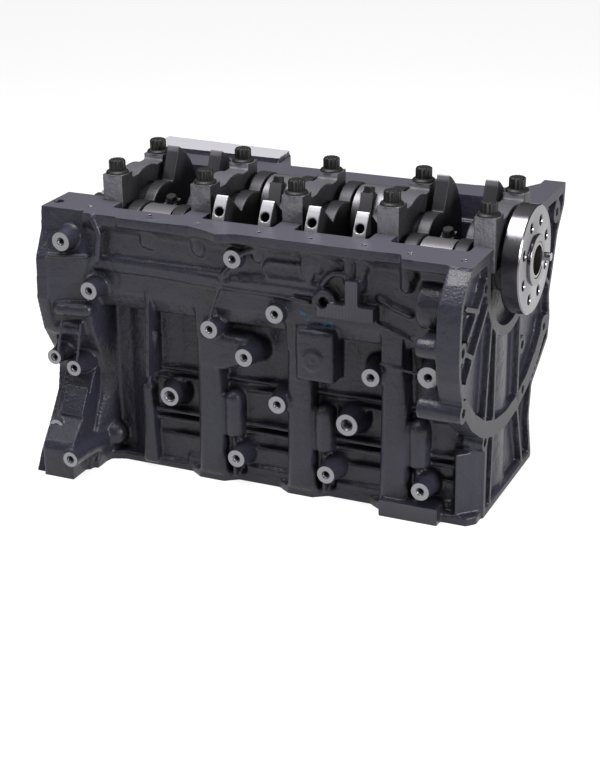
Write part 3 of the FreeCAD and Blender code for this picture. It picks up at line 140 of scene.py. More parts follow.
def blend(tree, share, first, second):
    """A colour between two, each a hex value or a socket."""
    node = add(tree, "ShaderNodeMix", {"data_type": "RGBA"})
    sockets = [node.inputs[key] for key in ("Factor", "A", "B")]
    for socket, value in zip(sockets, (share, first, second)):
        if isinstance(value, str):
            socket.default_value = colour(value)
        elif isinstance(value, float):
            socket.default_value = value
        else:
            tree.links.new(value, socket)
    return node.outputs["Result"]


# %% [markdown]
# The block is grey cast iron with a thin dark coat: a fine sand grain, slow patches
# of tone, and a soft gloss that catches on every round. Where a cutter has been, the
# iron is bare, flatter and lighter, so the same material asks two things of a point:
# how near it lies to a machined level, and whether it faces that way.


# %% Cast iron with machined levels
SWELL_MM, PATCH_MM = 9, 45                  # slow waves of the skin, and patches of tone
CORNER_MM = 26                              # how far the painted shade reaches out of a corner
MARK_MM = 6                                 # cutter marks, drawn coarser than real so that they show
CUT_ROUGHNESS = 0.5


def machined_share(tree, place, facing, levels):
    """1 where a point lies on a level: an axis, a height, a side, and the zone that it fills."""
    spot = add(tree, "ShaderNodeSeparateXYZ", Vector=place).outputs
    turn = add(tree, "ShaderNodeSeparateXYZ", Vector=facing).outputs
    share = 0.0
    for axis, height, side, *zone in levels:
        here = compute(tree, "MULTIPLY", compute(tree, "COMPARE", spot[axis], height * MM, 0.5 * MM),
                       compute(tree, "COMPARE", turn[axis], side, 0.12))
        for along, middle, half in zone:
            inside = compute(tree, "COMPARE", spot[along], middle * MM, half * MM)
            here = compute(tree, "MULTIPLY", here, inside)
        share = compute(tree, "MAXIMUM", share, here)
    return share


def cut_tone(tree, coordinates, cut):
    """The tone of machined iron, with painted shade on the end faces and a painted highlight on the rear pad."""
    place = coordinates["Object"]
    marks = add(tree, "ShaderNodeTexWave", {"wave_type": "RINGS", "rings_direction": "Z",
                                            "Scale": 1 / (MARK_MM * MM), "Distortion": 1.5, "Detail": 1.0},
                Vector=place)
    lit = blend(tree, compute(tree, "MULTIPLY", marks.outputs["Fac"], 0.07), cut, "#9a9aa0")
    spot = add(tree, "ShaderNodeSeparateXYZ", Vector=place).outputs
    turn = add(tree, "ShaderNodeSeparateXYZ", Vector=coordinates["Normal"]).outputs
    # Painted shade: machined faces that face along X, the end faces, are darkened.
    end = compute(tree, "GREATER_THAN", compute(tree, "ABSOLUTE", turn[0]), 0.7)
    lit = blend(tree, end, lit, "#2a2a31")
    # Painted highlight: the rear pad is made much lighter than the other machined levels.
    return blend(tree, compute(tree, "GREATER_THAN", spot[2], (REAR_PAD - 2) * MM), lit, "#b4b2b8")


def iron(name, dark, light, rough, grain_mm, grain_depth, cut=None, levels=(), metal=0.0, paint=None):
    """Cast iron: sand grain, patches of tone, bare cut metal on its machined levels, and painted shade in its
    corners.
    """
    material, tree = fresh(name)
    coordinates = add(tree, "ShaderNodeTexCoord").outputs
    place = coordinates["Object"]
    grain = add(tree, "ShaderNodeTexNoise", {"Scale": 1 / (grain_mm * MM), "Detail": 2.0}, Vector=place)
    swell = add(tree, "ShaderNodeTexNoise", {"Scale": 1 / (SWELL_MM * MM), "Detail": 2.0}, Vector=place)
    patch = add(tree, "ShaderNodeTexNoise", {"Scale": 1 / (PATCH_MM * MM), "Detail": 4.0}, Vector=place)
    tone = blend(tree, patch.outputs["Fac"], dark, light)
    speck = add(tree, "ShaderNodeMapRange", {"From Min": 0.35, "From Max": 0.68}, Value=grain.outputs["Fac"])
    tone = blend(tree, speck.outputs[0], blend(tree, 0.75, light, tone), blend(tree, 0.6, tone, light))
    shelter = add(tree, "ShaderNodeAmbientOcclusion",
                  {"samples": 8, "Distance": CORNER_MM * MM}).outputs["AO"]
    painted_shade = add(tree, "ShaderNodeMapRange",
                {"From Min": 0.25, "From Max": 0.85, "To Min": 0.6, "To Max": 0.0}, Value=shelter).outputs[0]
    gloss = add(tree, "ShaderNodeMapRange", {"To Min": rough - 0.1, "To Max": rough + 0.12},
                Value=grain.outputs["Fac"]).outputs[0]
    height = compute(tree, "ADD", grain.outputs["Fac"], compute(tree, "MULTIPLY", swell.outputs["Fac"], 2.5))
    if levels:
        share = machined_share(tree, place, coordinates["Normal"], levels)
        tone = blend(tree, share, tone, cut_tone(tree, coordinates, cut))
        flat = compute(tree, "SUBTRACT", 1.0, share)
        gloss = compute(tree, "ADD", compute(tree, "MULTIPLY", gloss, flat),
                        compute(tree, "MULTIPLY", share, CUT_ROUGHNESS))
        height = compute(tree, "MULTIPLY", height, flat)
    # Painted shade: the colour darkens towards near black where ambient occlusion finds corners and recesses.
    tone = blend(tree, painted_shade, tone, "#0d0c0f")
    # paint lays the blue marking paint on the block, and the painted shade of the sides on the caps.
    if paint:
        tone = paint(tree, coordinates, tone)
    bump = add(tree, "ShaderNodeBump", {"Strength": grain_depth, "Distance": 0.5 * MM}, Height=height)
    shader = add(tree, "ShaderNodeBsdfPrincipled",
                 {"Metallic": metal, "Coat Weight": 0.12, "Coat Roughness": 0.3, "Specular IOR Level": 0.32},
                 Base_Color=tone, Roughness=gloss, Normal=bump.outputs["Normal"])
    add(tree, "ShaderNodeOutputMaterial", Surface=shader.outputs[0])
    return material


def cap_shade_and_dark_top(tree, coordinates, tone):
    """Only the front of a cap keeps the bare tone: its sides are darkened as painted shade, and its top faces
    are darkened too.
    """
    turn = add(tree, "ShaderNodeSeparateXYZ", Vector=coordinates["Normal"]).outputs
    # Painted shade on the sides that face along X.
    painted_flank_shade = add(tree, "ShaderNodeMapRange", {"From Min": 0.45, "From Max": 0.75, "To Max": 0.9},
                Value=compute(tree, "ABSOLUTE", turn[0])).outputs[0]
    crown = add(tree, "ShaderNodeMapRange", {"From Min": 0.5, "From Max": 0.85, "To Max": 0.7},
                Value=turn[2]).outputs[0]
    tone = blend(tree, crown, tone, "#2f2e34")
    return blend(tree, painted_flank_shade, tone, "#19181b")


def paint_smear(tree, coordinates, tone):
    """A trace of blue marking paint under the bracket."""
    place = coordinates["Object"]
    spot = add(tree, "ShaderNodeSeparateXYZ", Vector=place).outputs
    along = compute(tree, "COMPARE", spot[0], 41 * MM, 17 * MM)
    slope = compute(tree, "ADD", spot[2], compute(tree, "MULTIPLY", spot[0], 0.22))
    across = compute(tree, "COMPARE", slope, 199 * MM, 4.5 * MM)
    ragged = add(tree, "ShaderNodeTexNoise", {"Scale": 1 / (5 * MM), "Detail": 4.0}, Vector=place)
    ragged = add(tree, "ShaderNodeMapRange", {"From Min": 0.48, "From Max": 0.62},
                 Value=ragged.outputs["Fac"])
    share = compute(tree, "MULTIPLY", compute(tree, "MULTIPLY", along, across), ragged.outputs[0])
    return blend(tree, compute(tree, "MULTIPLY", share, 0.75), tone, "#2f6f92")


block_levels = [(2, RAIL, 1), (2, REAR_PAD, 1), (2, 0, -1), (0, BELL_FACE, 1), (0, TIMING_FACE, -1),
                (1, BRACKET_FACE, -1, (0, 76, 30), (2, 220, 21)),
                (1, FOOT_FACE, -1, (0, 138, 31), (2, 8, 9.4))]
block_iron = iron("coated_cast_iron", "#1a1a23", "#3b3a48", 0.33, 2.2, 1.0, "#484752", block_levels,
                  paint=paint_smear)
cap_iron = iron("bare_cast_iron", "#48474d", "#94939a", 0.5, 2.2, 1.0, paint=cap_shade_and_dark_top)
plug_steel = iron("pressed_plug", "#6d6d70", "#7b7b7e", 0.4, 2.0, 0.1, metal=0.8)
print("cast finishes made")

# %% [markdown]
# Bolts are black phosphate over steel, almost matt. Ground and turned steel is bright
# and mirrors the studio, with fine marks along the way the tool went. The crankshaft
# is both: black forging scale on the sides of its webs, turned edges round them, and
# a polished flange.


# %% Steel finishes
def steel(name, dark, light, rough, mark_mm, mark_axis="X", depth=0.15, metal=1.0):
    """Machined steel, with fine marks square to an axis."""
    material, tree = fresh(name)
    place = add(tree, "ShaderNodeTexCoord").outputs["Object"]
    marks = add(tree, "ShaderNodeTexWave", {"bands_direction": mark_axis, "Scale": 1 / (mark_mm * MM),
                                            "Distortion": 2.0, "Detail": 2.0}, Vector=place)
    smudge = add(tree, "ShaderNodeTexNoise", {"Scale": 1 / (12 * MM), "Detail": 4.0}, Vector=place)
    tone = blend(tree, smudge.outputs["Fac"], dark, light)
    gloss = add(tree, "ShaderNodeMapRange", {"To Min": rough - 0.05, "To Max": rough + 0.08},
                Value=smudge.outputs["Fac"]).outputs[0]
    bump = add(tree, "ShaderNodeBump", {"Strength": depth, "Distance": 0.02 * MM},
               Height=marks.outputs["Fac"])
    shader = add(tree, "ShaderNodeBsdfPrincipled", {"Metallic": metal}, Base_Color=tone, Roughness=gloss,
                 Normal=bump.outputs["Normal"])
    add(tree, "ShaderNodeOutputMaterial", Surface=shader.outputs[0])
    return material


def forging(name, scale_dark, scale_light, turned, rough, crank=False):
    """A steel forging: scale on its sides, turned bright round its edges, and painted shade in its hollows."""
    material, tree = fresh(name)
    coordinates = add(tree, "ShaderNodeTexCoord").outputs
    place = coordinates["Object"]
    grain = add(tree, "ShaderNodeTexNoise", {"Scale": 1 / (2.2 * MM), "Detail": 4.0}, Vector=place)
    side = add(tree, "ShaderNodeSeparateXYZ", Vector=coordinates["Normal"]).outputs[0]
    edge = add(tree, "ShaderNodeMapRange", {"From Min": 0.75, "From Max": 0.35},
               Value=compute(tree, "ABSOLUTE", side)).outputs[0]
    tone = blend(tree, grain.outputs["Fac"], scale_dark, scale_light)
    if crank:
        spot = add(tree, "ShaderNodeSeparateXYZ", Vector=place).outputs
        rise = compute(tree, "SUBTRACT", spot[2], AXIS * MM)
        out = compute(tree, "SQRT", compute(tree, "ADD", compute(tree, "MULTIPLY", rise, rise),
                                            compute(tree, "MULTIPLY", spot[1], spot[1])))
        rim = add(tree, "ShaderNodeMapRange", {"From Min": 64 * MM, "From Max": 67 * MM},
                  Value=out).outputs[0]
        ground = compute(tree, "LESS_THAN", spot[1], -52 * MM)
        turned = blend(tree, rim, "#3c3b3f", blend(tree, ground, turned, "#b9b8be"))
    tone = blend(tree, edge, tone, turned)
    # Painted shade: the colour darkens where ambient occlusion finds hollows between webs and parts.
    shelter = add(tree, "ShaderNodeAmbientOcclusion", {"samples": 8, "Distance": 45 * MM}).outputs["AO"]
    painted_forging_shade = add(tree, "ShaderNodeMapRange", {"From Min": 0.3, "From Max": 0.9, "To Min": 0.75, "To Max": 0.0},
              Value=shelter).outputs[0]
    tone = blend(tree, painted_forging_shade, tone, "#121114")
    metal = compute(tree, "MULTIPLY", edge, 0.7)
    gloss = compute(tree, "SUBTRACT", 0.55, compute(tree, "MULTIPLY", edge, 0.55 - rough))
    depth = compute(tree, "MULTIPLY", grain.outputs["Fac"], compute(tree, "SUBTRACT", 1.0, edge))
    bump = add(tree, "ShaderNodeBump", {"Strength": 0.5, "Distance": 0.25 * MM}, Height=depth)
    shader = add(tree, "ShaderNodeBsdfPrincipled", Base_Color=tone, Roughness=gloss, Metallic=metal,
                 Normal=bump.outputs["Normal"])
    add(tree, "ShaderNodeOutputMaterial", Surface=shader.outputs[0])
    return material


finishes = {
    "block_iron": block_iron, "cap_iron": cap_iron, "plug_steel": plug_steel,
    "bolt_steel": steel("black_phosphate", "#161617", "#242425", 0.45, 0.8, "Z", metal=0.3),
    "forged_steel": forging("forged_crank_steel", "#1c1b1e", "#2b2a2d", "#6d6b70", 0.42, crank=True),
    "bearing_metal": steel("bearing_metal", "#8f8f90", "#9b9b9c", 0.3, 0.6),
    "bright_steel": steel("ground_steel", "#9c9b9f", "#adacaf", 0.25, 0.6),
    "piston_alloy": steel("turned_alloy", "#b8b9ba", "#c2c3c4", 0.35, 0.5, "Z"),
    "bronze": steel("oiled_bronze", "#8d8985", "#9b9792", 0.3, 0.6)}
seat_metal = steel("faced_iron", "#8a8a90", "#97979c", 0.36, 0.5, "Y", 0.3, metal=0.7)
rod_metal = forging("forged_rod_steel", "#343236", "#444246", "#7d7b80", 0.38)
flange_metal = steel("polished_flange", "#6f6d72", "#807e83", 0.2, 0.7, "X", 0.1)
slot_of = {part["node"]: part["material_slot"] for part in frame["record"]["subparts"]}
for name, node in nodes.items():
    node.data.materials.clear()
    node.data.materials.append(finishes[slot_of[name]])
print(len(finishes), "finishes on", len(nodes), "nodes")

# %% [markdown]
# A sand casting has no sharp inner corners. The solids do, so a merged copy of the
# block is wrapped again in a fine even mesh, which joins every rib and boss to the
# wall. Rubbing that mesh smooth then gives each corner the round of a real pattern,
# while the vertices on machined levels are held still and laid exactly on their plane.


# %% From solids to castings
def merged(names):
    """CAD nodes copied into one mesh, with their loose triangles joined up."""
    shell = bmesh.new()
    for name in names:
        shell.from_mesh(nodes[name].data)
    bmesh.ops.remove_doubles(shell, verts=shell.verts, dist=0.001 * MM)
    return shell


def modified(mesh, kind, **settings):
    """The mesh after one modifier."""
    work = bpy.data.objects.new("work", mesh)
    scene.collection.objects.link(work)
    modifier = work.modifiers.new(kind, kind)
    for key, value in settings.items():
        setattr(modifier, key, value)
    graph = bpy.context.evaluated_depsgraph_get()
    result = bpy.data.meshes.new_from_object(work.evaluated_get(graph))
    bpy.data.objects.remove(work)
    return result


def recast(shell, voxel_mm, rounds, triangles, settle):
    """Wraps a mesh evenly, rounds it off, and thins it to a number of triangles."""
    rough = bpy.data.meshes.new("rough")
    shell.to_mesh(rough)
    shell.free()
    fine = modified(rough, "REMESH", mode="VOXEL", voxel_size=voxel_mm * MM)
    count = len(fine.vertices)
    place = np.empty(count * 3)
    fine.vertices.foreach_get("co", place)
    place = place.reshape(-1, 3) / MM
    pairs = np.empty(len(fine.edges) * 2, dtype=np.int64)
    fine.edges.foreach_get("vertices", pairs)
    pairs = pairs.reshape(-1, 2)
    tail, head = np.concatenate([pairs, pairs[:, ::-1]]).T
    degree = np.bincount(tail, minlength=count)
    held = settle(place)
    step = 0.5 * (1.0 - held)[:, None]
    for _ in range(rounds):
        total = np.stack([np.bincount(tail, place[head, axis], count) for axis in range(3)], 1)
        place += (total / degree[:, None] - place) * step
    fine.vertices.foreach_set("co", (place * MM).ravel())
    fine.update()
    share = min(1.0, triangles / (2 * len(fine.polygons)))
    thin = modified(fine, "DECIMATE", ratio=share)
    thin.shade_smooth()
    thin.set_sharp_from_angle(angle=math.radians(42))
    print("fine mesh", len(fine.polygons), "thinned to", len(thin.polygons))
    return thin


def lay_flat(place, held, axis, height, within=0.9, zone=True):
    """Holds the vertices near a level, and puts them on it."""
    near = (np.abs(place[:, axis] - height) < within) & zone
    place[near, axis] = height
    held[near] = 1.0


def piece(name, mesh, body, slot, finish, *replaced):
    """Puts a finished mesh on its body, with its finish, in place of CAD nodes."""
    obj = bpy.data.objects.new(name, mesh)
    scene.collection.objects.link(obj)
    mesh.materials.clear()
    mesh.materials.append(finish)
    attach(obj, body)
    if replaced:
        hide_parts(*replaced)
    print(name, len(mesh.polygons), "faces on", body)
    return obj


# %% [markdown]
# Before it is wrapped, the block's copy gets the small cast features that the solids
# leave out. Each is a few round-ended bars, which melt into the wall.


# %% Cast ribs and raised rings
def bar(shell, start, end, radius):
    """Adds a round-ended bar between two places, in millimetres."""
    start, end = Vector(start) * MM, Vector(end) * MM
    turn = (end - start).to_track_quat("Z", "Y").to_matrix().to_4x4()
    bmesh.ops.create_cone(shell, cap_ends=True, segments=12, radius1=radius * MM, radius2=radius * MM,
                          depth=(end - start).length, matrix=Matrix.Translation((start + end) / 2) @ turn)
    for tip in (start, end):
        bmesh.ops.create_icosphere(shell, subdivisions=2, radius=radius * MM, matrix=Matrix.Translation(tip))


def run(shell, places, radius, closed=False):
    """Adds bars from place to place."""
    ends = places[1:] + places[:1] if closed else places[1:]
    for start, end in zip(places, ends):
        bar(shell, start, end, radius)


def ring_places(x, z, y, half_width, radius, steps):
    """Places round a long hole's outline on the front wall."""
    places = []
    for n in range(steps):
        turn = 2 * math.pi * n / steps
        shift = half_width if math.cos(turn) > 0 else -half_width
        places.append((x + shift + radius * math.cos(turn), y, z + radius * math.sin(turn)))
    return places


WALL = -95.0                                 # a little proud of the skirt's front
wall_ribs = [                                # places along each rib, then its radius
    ([(-45, -97, 238), (-55, -97, 227), (-64, -96, 200), (-72, -96, 176)], 2.0),
    ([(-38, -101, 248), (-20, -100, 256), (-12, -99, 266)], 3.0),
    ([(-209, WALL, 214.5), (-130, WALL, 215), (-52, WALL, 212)], 2.0),
    ([(-191, WALL, 222.5), (-120, WALL, 222), (-62, WALL, 220)], 2.8),
    ([(-52, WALL, 212), (6, WALL, 211), (36, WALL - 2, 209)], 2.2),
    ([(-45, WALL, 220.5), (12, WALL, 221), (44, WALL, 219.5)], 3.0),
    ([(50, -98, 230), (56, -99, 239), (63, -99, 243), (70, -99, 243), (75, -98, 240)], 3.0),
    ([(101, -96, 199), (139, -94, 184)], 1.8),
    ([(105, -90, 155), (146, -92, 151)], 1.8),
    ([(118, -95, 216), (137, -95, 210)], 3.0),
    ([(106, -95, 222), (114, -95, 219)], 3.0),
    ([(-137, -86, 150), (-150, -81, 89)], 3.2),
    ([(-193, -103, 268), (-186, -103, 252), (-189, -104, 226)], 3.5),
    ([(-240, -114, 227), (-222, -113, 228), (-198, -109, 230)], 3.0),
    ([(-232, -108, 171), (-203, -106, 172)], 8.0),
    ([(-228, -114, 160), (-233, -116, 127)], 2.0), ([(-209, -109, 158), (-216, -109, 118)], 2.0),
    ([(-133, -94, 246), (-133, -94, 268)], 6.0), ([(-79, -95, 246), (-79, -95, 266)], 6.5),
    ([(33, -96, 238), (33, -96, 262)], 5.5), ([(45, -95, 242), (45, -95, 262)], 4.0),
    ([(76, -96, 236), (76, -96, 262)], 5.0), ([(88, -96, 232), (88, -96, 262)], 5.5),
    ([(134, -96, 238), (134, -96, 262)], 6.5)]
cast = merged(["block_casting"])
for places, radius in wall_ribs:
    run(cast, places, radius)
run(cast, ring_places(39.0, AXIS - 95, -98.6, 0.0, 8.5, 20), 1.9, closed=True)
bar(cast, (39, -98, AXIS - 95), (39, -97, AXIS - 95), 3.2)
run(cast, ring_places(14.0, AXIS - 9, -97.2, 17.0, 8.2, 24), 1.4, closed=True)
for n in range(10):                          # a ring of raised dots, as foundries mould
    turn = 2 * math.pi * n / 10
    x, z = -172 + 8.5 * math.cos(turn), 238 + 8.5 * math.sin(turn)
    bar(cast, (x, -93.5, z), (x + 0.1, -94, z), 1.6)
run(cast, ring_places(-172.0, 238.0, -93.2, 0.0, 3.8, 12), 1.3, closed=True)
print("casting copy", len(cast.verts), "vertices")

# %% [markdown]
# Brackets, the starter and the sump all screw to the block, so its wall and its rail
# are full of bosses. A table of places is kept apart from the shapes: the casting holds
# these faces flat, and the bright rings are set out on the same rows further on.

# %% Places of the bosses on the front, in millimetres
# across, up, front face, outer radius, hole radius
THREAD_R, PLAIN_R = 3.5, 5.5
front_bosses = [
    (-41, 245, -104, 9.5, THREAD_R), (1, 194, -101, 9.5, THREAD_R), (-70, 168, -100, 9.5, THREAD_R),
    (-33, 144, -100, 9.5, THREAD_R), (98, 142, -96, 9.5, THREAD_R), (159, 155, -105, 11.0, THREAD_R),
    (-46, 32, -96, 9.5, THREAD_R), (0, 98, -96, 9.5, THREAD_R), (53, 34, -100, 9.5, THREAD_R),
    (151, 34, -100, 9.5, THREAD_R), (-122, 85, -90, 10.5, PLAIN_R), (72, 87, -92, 11.5, PLAIN_R),
    (-221, 245, -118, 10.0, THREAD_R), (-196, 195, -112, 9.5, THREAD_R), (-241, 118, -112, 8.0, THREAD_R),
    (-220, 108, -110, 8.5, THREAD_R), (-235, 47, -126, 8.5, THREAD_R), (-208, 24, -147, 8.5, THREAD_R)]
rail_holes = [(-207.5, -80), (-138, -86), (-82, -92), (-17, -95),
              (36, -94), (90, -94), (138, -100), (190, -101)]
rear_rail_holes = [(x - 30, 116) for x in MAIN_X[1:]]
print(len(front_bosses), "bosses and", len(rail_holes) + len(rear_rail_holes), "rail holes")


# %% [markdown]
# Only what a cutter touched may stay sharp on the block: the deck, the rails, the end
# faces, the boss faces and the bores. Those vertices are held still while the rest is
# rubbed smooth. A Bevel modifier would round every edge alike, machined ones too.


# %% The casting
def settle_block(place):
    """Holds the block's machined levels and bores."""
    held = np.zeros(len(place))
    for height in (0.0, RAIL, REAR_PAD):
        lay_flat(place, held, 2, height)
    lay_flat(place, held, 0, BELL_FACE)
    lay_flat(place, held, 0, TIMING_FACE)
    for x, z, y, radius, _ in front_bosses:
        reach = np.hypot(place[:, 0] - x, place[:, 2] - z)
        lay_flat(place, held, 1, y, zone=reach < radius)
    lay_flat(place, held, 1, BRACKET_FACE, zone=(place[:, 0] > 47) & (place[:, 0] < 105))
    lay_flat(place, held, 1, FOOT_FACE, zone=place[:, 2] < 17)
    for x in CYLINDER_X:
        held[np.hypot(place[:, 0] - x, place[:, 1]) < BORE_R + 0.8] = 1.0
    held[np.hypot(place[:, 1], place[:, 2] - AXIS) < 34] = 1.0
    return held


block_mesh = recast(cast, 1.3, 7, 188000, settle_block)
piece("cast_block", block_mesh, "block", "block_iron", block_iron, "block_casting")

# %% [markdown]
# The caps are cast too, and the crankshaft is forged. They go through the same
# wrapping at a finer size. The crank's flange is turned true, so it is drawn in here
# and covered by a turned one further on.


# %% Caps, crankshaft and rods
def settle_caps(place):
    """Holds the faces under the main bolts."""
    held = np.zeros(len(place))
    lay_flat(place, held, 2, SEAT, 0.6)
    return held


def settle_crank(place):
    """Draws the flange in a little, so that the turned one can cover it."""
    flange = place[:, 0] > BELL_FACE + 3.6
    place[flange, 1:] = (place[flange, 1:] - (0, AXIS)) * 0.982 + (0, AXIS)
    place[flange, 0] = np.clip(place[flange, 0], BELL_FACE + 4.4, FLANGE_FACE - 0.8)
    return flange.astype(float)


caps = [name for name in nodes if name.startswith("main_cap_")]
piece("cast_caps", recast(merged(caps), 0.9, 2, 60000, settle_caps), "block", "cap_iron", cap_iron, *caps)
crank_mesh = recast(merged(["crankshaft"]), 0.9, 2, 150000, settle_crank)
piece("forged_crank", crank_mesh, "crank", "forged_steel", finishes["forged_steel"], "crankshaft")
rods = [name for name in nodes if name.startswith(("connecting_rod_", "rod_cap_"))]
for name in rods:
    nodes[name].data.materials.clear()
    nodes[name].data.materials.append(rod_metal)
print(len(rods), "rods and rod caps keep their solids")

# %% [markdown]
# Bolts, boss faces and hole rims repeat, so one Geometry Nodes tree sets a small piece
# out on a list of places. The piece itself is turned, like the real one on a lathe.


# %% Turned pieces
def turned(profile, steps=40, lobes=0, lobe_depth=0.0):
    """A closed solid from (radius, height) pairs in millimetres, turned about Z."""
    shell = bmesh.new()
    rings = []
    for radius, height in profile:
        ring = []
        for n in range(steps):
            turn = 2 * math.pi * n / steps
            reach = radius * (1 - lobe_depth * (0.5 - 0.5 * math.cos(lobes * turn)))
            ring.append(shell.verts.new((reach * math.cos(turn) * MM, reach * math.sin(turn) * MM,
                                         height * MM)))
        rings.append(ring)
    for lower, upper in zip(rings, rings[1:] + rings[:1]):
        for n in range(steps):
            shell.faces.new((lower[n], lower[(n + 1) % steps], upper[(n + 1) % steps], upper[n]))
    bmesh.ops.recalc_face_normals(shell, faces=shell.faces)
    mesh = bpy.data.meshes.new("turned")
    shell.to_mesh(mesh)
    shell.free()
    mesh.shade_smooth()
    mesh.set_sharp_from_angle(angle=math.radians(32))
    return mesh


# %% [markdown]
# The tree takes a mesh of points and puts the chosen piece on each one. Instances share
# one mesh and cost little, but an export drops them, so the tree makes them real and
# gives them their finish at its end.

# %% The setting-out tree
setting = bpy.data.node_groups.new("set_out", "GeometryNodeTree")
for title, kind in (("Places", "Geometry"), ("Piece", "Object"), ("Turn", "Vector"), ("Size", "Float"),
                    ("Finish", "Material")):
    setting.interface.new_socket(title, in_out="INPUT", socket_type="NodeSocket" + kind)
setting.interface.new_socket("Fitted", in_out="OUTPUT", socket_type="NodeSocketGeometry")
given = add(setting, "NodeGroupInput").outputs
source = add(setting, "GeometryNodeObjectInfo", Object=given["Piece"]).outputs["Geometry"]
fitted = add(setting, "GeometryNodeInstanceOnPoints", Points=given["Places"], Instance=source,
             Rotation=given["Turn"], Scale=given["Size"]).outputs[0]
fitted = add(setting, "GeometryNodeRealizeInstances", Geometry=fitted).outputs[0]
fitted = add(setting, "GeometryNodeSetMaterial", Geometry=fitted, Material=given["Finish"]).outputs[0]
add(setting, "NodeGroupOutput", Fitted=fitted)


def set_out(shape, places, finish, turn=(0, 0, 0), size=1.0):
    """A mesh with the shape set out on places in millimetres."""
    model = bpy.data.objects.new("model", shape)
    points = bpy.data.meshes.new("points")
    points.from_pydata([[v * MM for v in place] for place in places], [], [])
    work = bpy.data.objects.new("work", points)
    scene.collection.objects.link(model)
    scene.collection.objects.link(work)
    modifier = work.modifiers.new("set_out", "NODES")
    modifier.node_group = setting
    values = {"Piece": model, "Turn": turn, "Size": size, "Finish": finish}
    for item in setting.interface.items_tree:
        if item.in_out == "INPUT" and item.name in values:
            modifier[item.identifier] = values[item.name]
    graph = bpy.context.evaluated_depsgraph_get()
    result = bpy.data.meshes.new_from_object(work.evaluated_get(graph))
    bpy.data.objects.remove(work)
    bpy.data.objects.remove(model)
    return result


def joined(meshes):
    """Several meshes of one finish as one."""
    shell = bmesh.new()
    for mesh in meshes:
        shell.from_mesh(mesh)
    whole = bpy.data.meshes.new("joined")
    shell.to_mesh(whole)
    shell.free()
    return whole


# %% [markdown]
# Each boss is faced with a cutter, drilled, chamfered and tapped. The facing shows as
# a bright ring, the chamfer as a brighter line, and the thread as dark and light turns.


# %% Faced and tapped bosses
def faced_ring(outer, hole, depth, proud=0.25, pitch=1.25):
    """A thin bright face with a chamfered, threaded hole behind it."""
    thread = []
    turns = int(depth / pitch)
    for n in range(turns):
        top = -1.0 - n * pitch
        thread += [(hole - 0.55, top - 0.45 * pitch), (hole - 0.05, top - pitch)]
    return turned([(outer, proud), (hole + 0.9, proud), (hole - 0.1, proud - 0.9)] + thread
                  + [(0.02, -depth - 1.5), (0.02, -depth - 2.5), (hole + 0.3, -depth - 0.6),
                     (hole + 0.3, -1.6), (outer, -0.6)])


TO_FRONT = (math.radians(90), 0, 0)
faces = []
for outer, hole in sorted({(b[3], b[4]) for b in front_bosses}):
    places = [(x, y, z) for x, z, y, r, h in front_bosses if (r, h) == (outer, hole)]
    faces.append(set_out(faced_ring(outer - 0.5, hole, 12.0), places, seat_metal, TO_FRONT))
piece("boss_faces", joined(faces), "block", "block_iron", seat_metal)

# %% [markdown]
# The sump's screws are small, so their holes have a narrow bright rim, almost level
# with the rail. The same faced ring serves them at a finer pitch.

# %% Tapped holes in the sump rail
rail_rim = faced_ring(3.6, 2.6, 12.0, proud=0.12, pitch=1.0)
rims = [set_out(rail_rim, [(x, y, RAIL) for x, y in row], seat_metal)
        for row in (rail_holes, rear_rail_holes)]
piece("rail_holes", joined(rims), "block", "block_iron", seat_metal)

# %% [markdown]
# A main bolt has a washer made in one with its head. The head has twelve lobes for a
# ring spanner and a domed end. Under the washer the cap is faced, which leaves a thin
# bright line round it.

# %% Main bolts
bolt_places = [(x, side * BOLT_Y, SEAT) for x in CAP_X for side in (-1, 1)]
washer = turned([(0.02, 0.2), (11.5, 0.2), (11.5, 1.3), (10.8, 2.4), (8.6, 3.5), (0.02, 3.6)], 48)
head = turned([(0.02, 3.0), (8.2, 3.0), (8.4, 4.2), (8.4, 12.2), (7.9, 13.3), (6.9, 14.0), (0.02, 14.0)],
              96, lobes=12, lobe_depth=0.13)
facing = turned([(0.02, -0.3), (11.9, -0.3), (11.9, 0.35), (0.02, 0.35)], 48)
bolts = [set_out(shape, bolt_places, finishes["bolt_steel"]) for shape in (washer, head)]
piece("flanged_bolts", joined(bolts), "block", "bolt_steel", finishes["bolt_steel"], "main_bolts")
piece("bolt_seats", set_out(facing, bolt_places, seat_metal), "block", "cap_iron", seat_metal)

# %% [markdown]
# The flange that carries the flywheel is turned and polished, with a raised ring in
# the middle and eight tapped holes. The disc is turned here and drilled with a Boolean.


# %% Flange
def along_crank(mesh, start):
    """Lays a piece turned about Z along the crank, from a place on X."""
    mesh.transform(Matrix.Translation((start * MM, 0, AXIS * MM)) @ Matrix.Rotation(math.radians(90), 4, "Y"))
    return mesh


FLANGE_BACK = BELL_FACE + 4.0
THICK = FLANGE_FACE - FLANGE_BACK
PILOT_R, PILOT_BORE_R = 25.0, 17.0          # the raised ring, and the bore in it
BOLT_CIRCLE_R, BOLT_HOLE_R, HOLES = 38, 5.0, 8
disc = turned([(31.0, 0.1), (51.6, 0.0), (FLANGE_R, 0.9), (FLANGE_R, THICK - 1.2), (51.5, THICK),
               (26.6, THICK), (PILOT_R, THICK + 0.6), (PILOT_R, THICK + 2.4), (24.4, THICK + 3.0),
               (18.0, THICK + 3.0), (PILOT_BORE_R, THICK + 2.0), (PILOT_BORE_R, 2.0), (31.0, 2.0)], 160)
drill = turned([(0.01, -30), (BOLT_HOLE_R, -30), (BOLT_HOLE_R, -1.0), (5.9, 0.2), (5.9, 4), (0.01, 4)], 32)
turns = [math.radians(22.5 + 45 * n) for n in range(HOLES)]
drills = set_out(drill, [(BOLT_CIRCLE_R * math.cos(a), BOLT_CIRCLE_R * math.sin(a), THICK) for a in turns],
                 flange_metal)
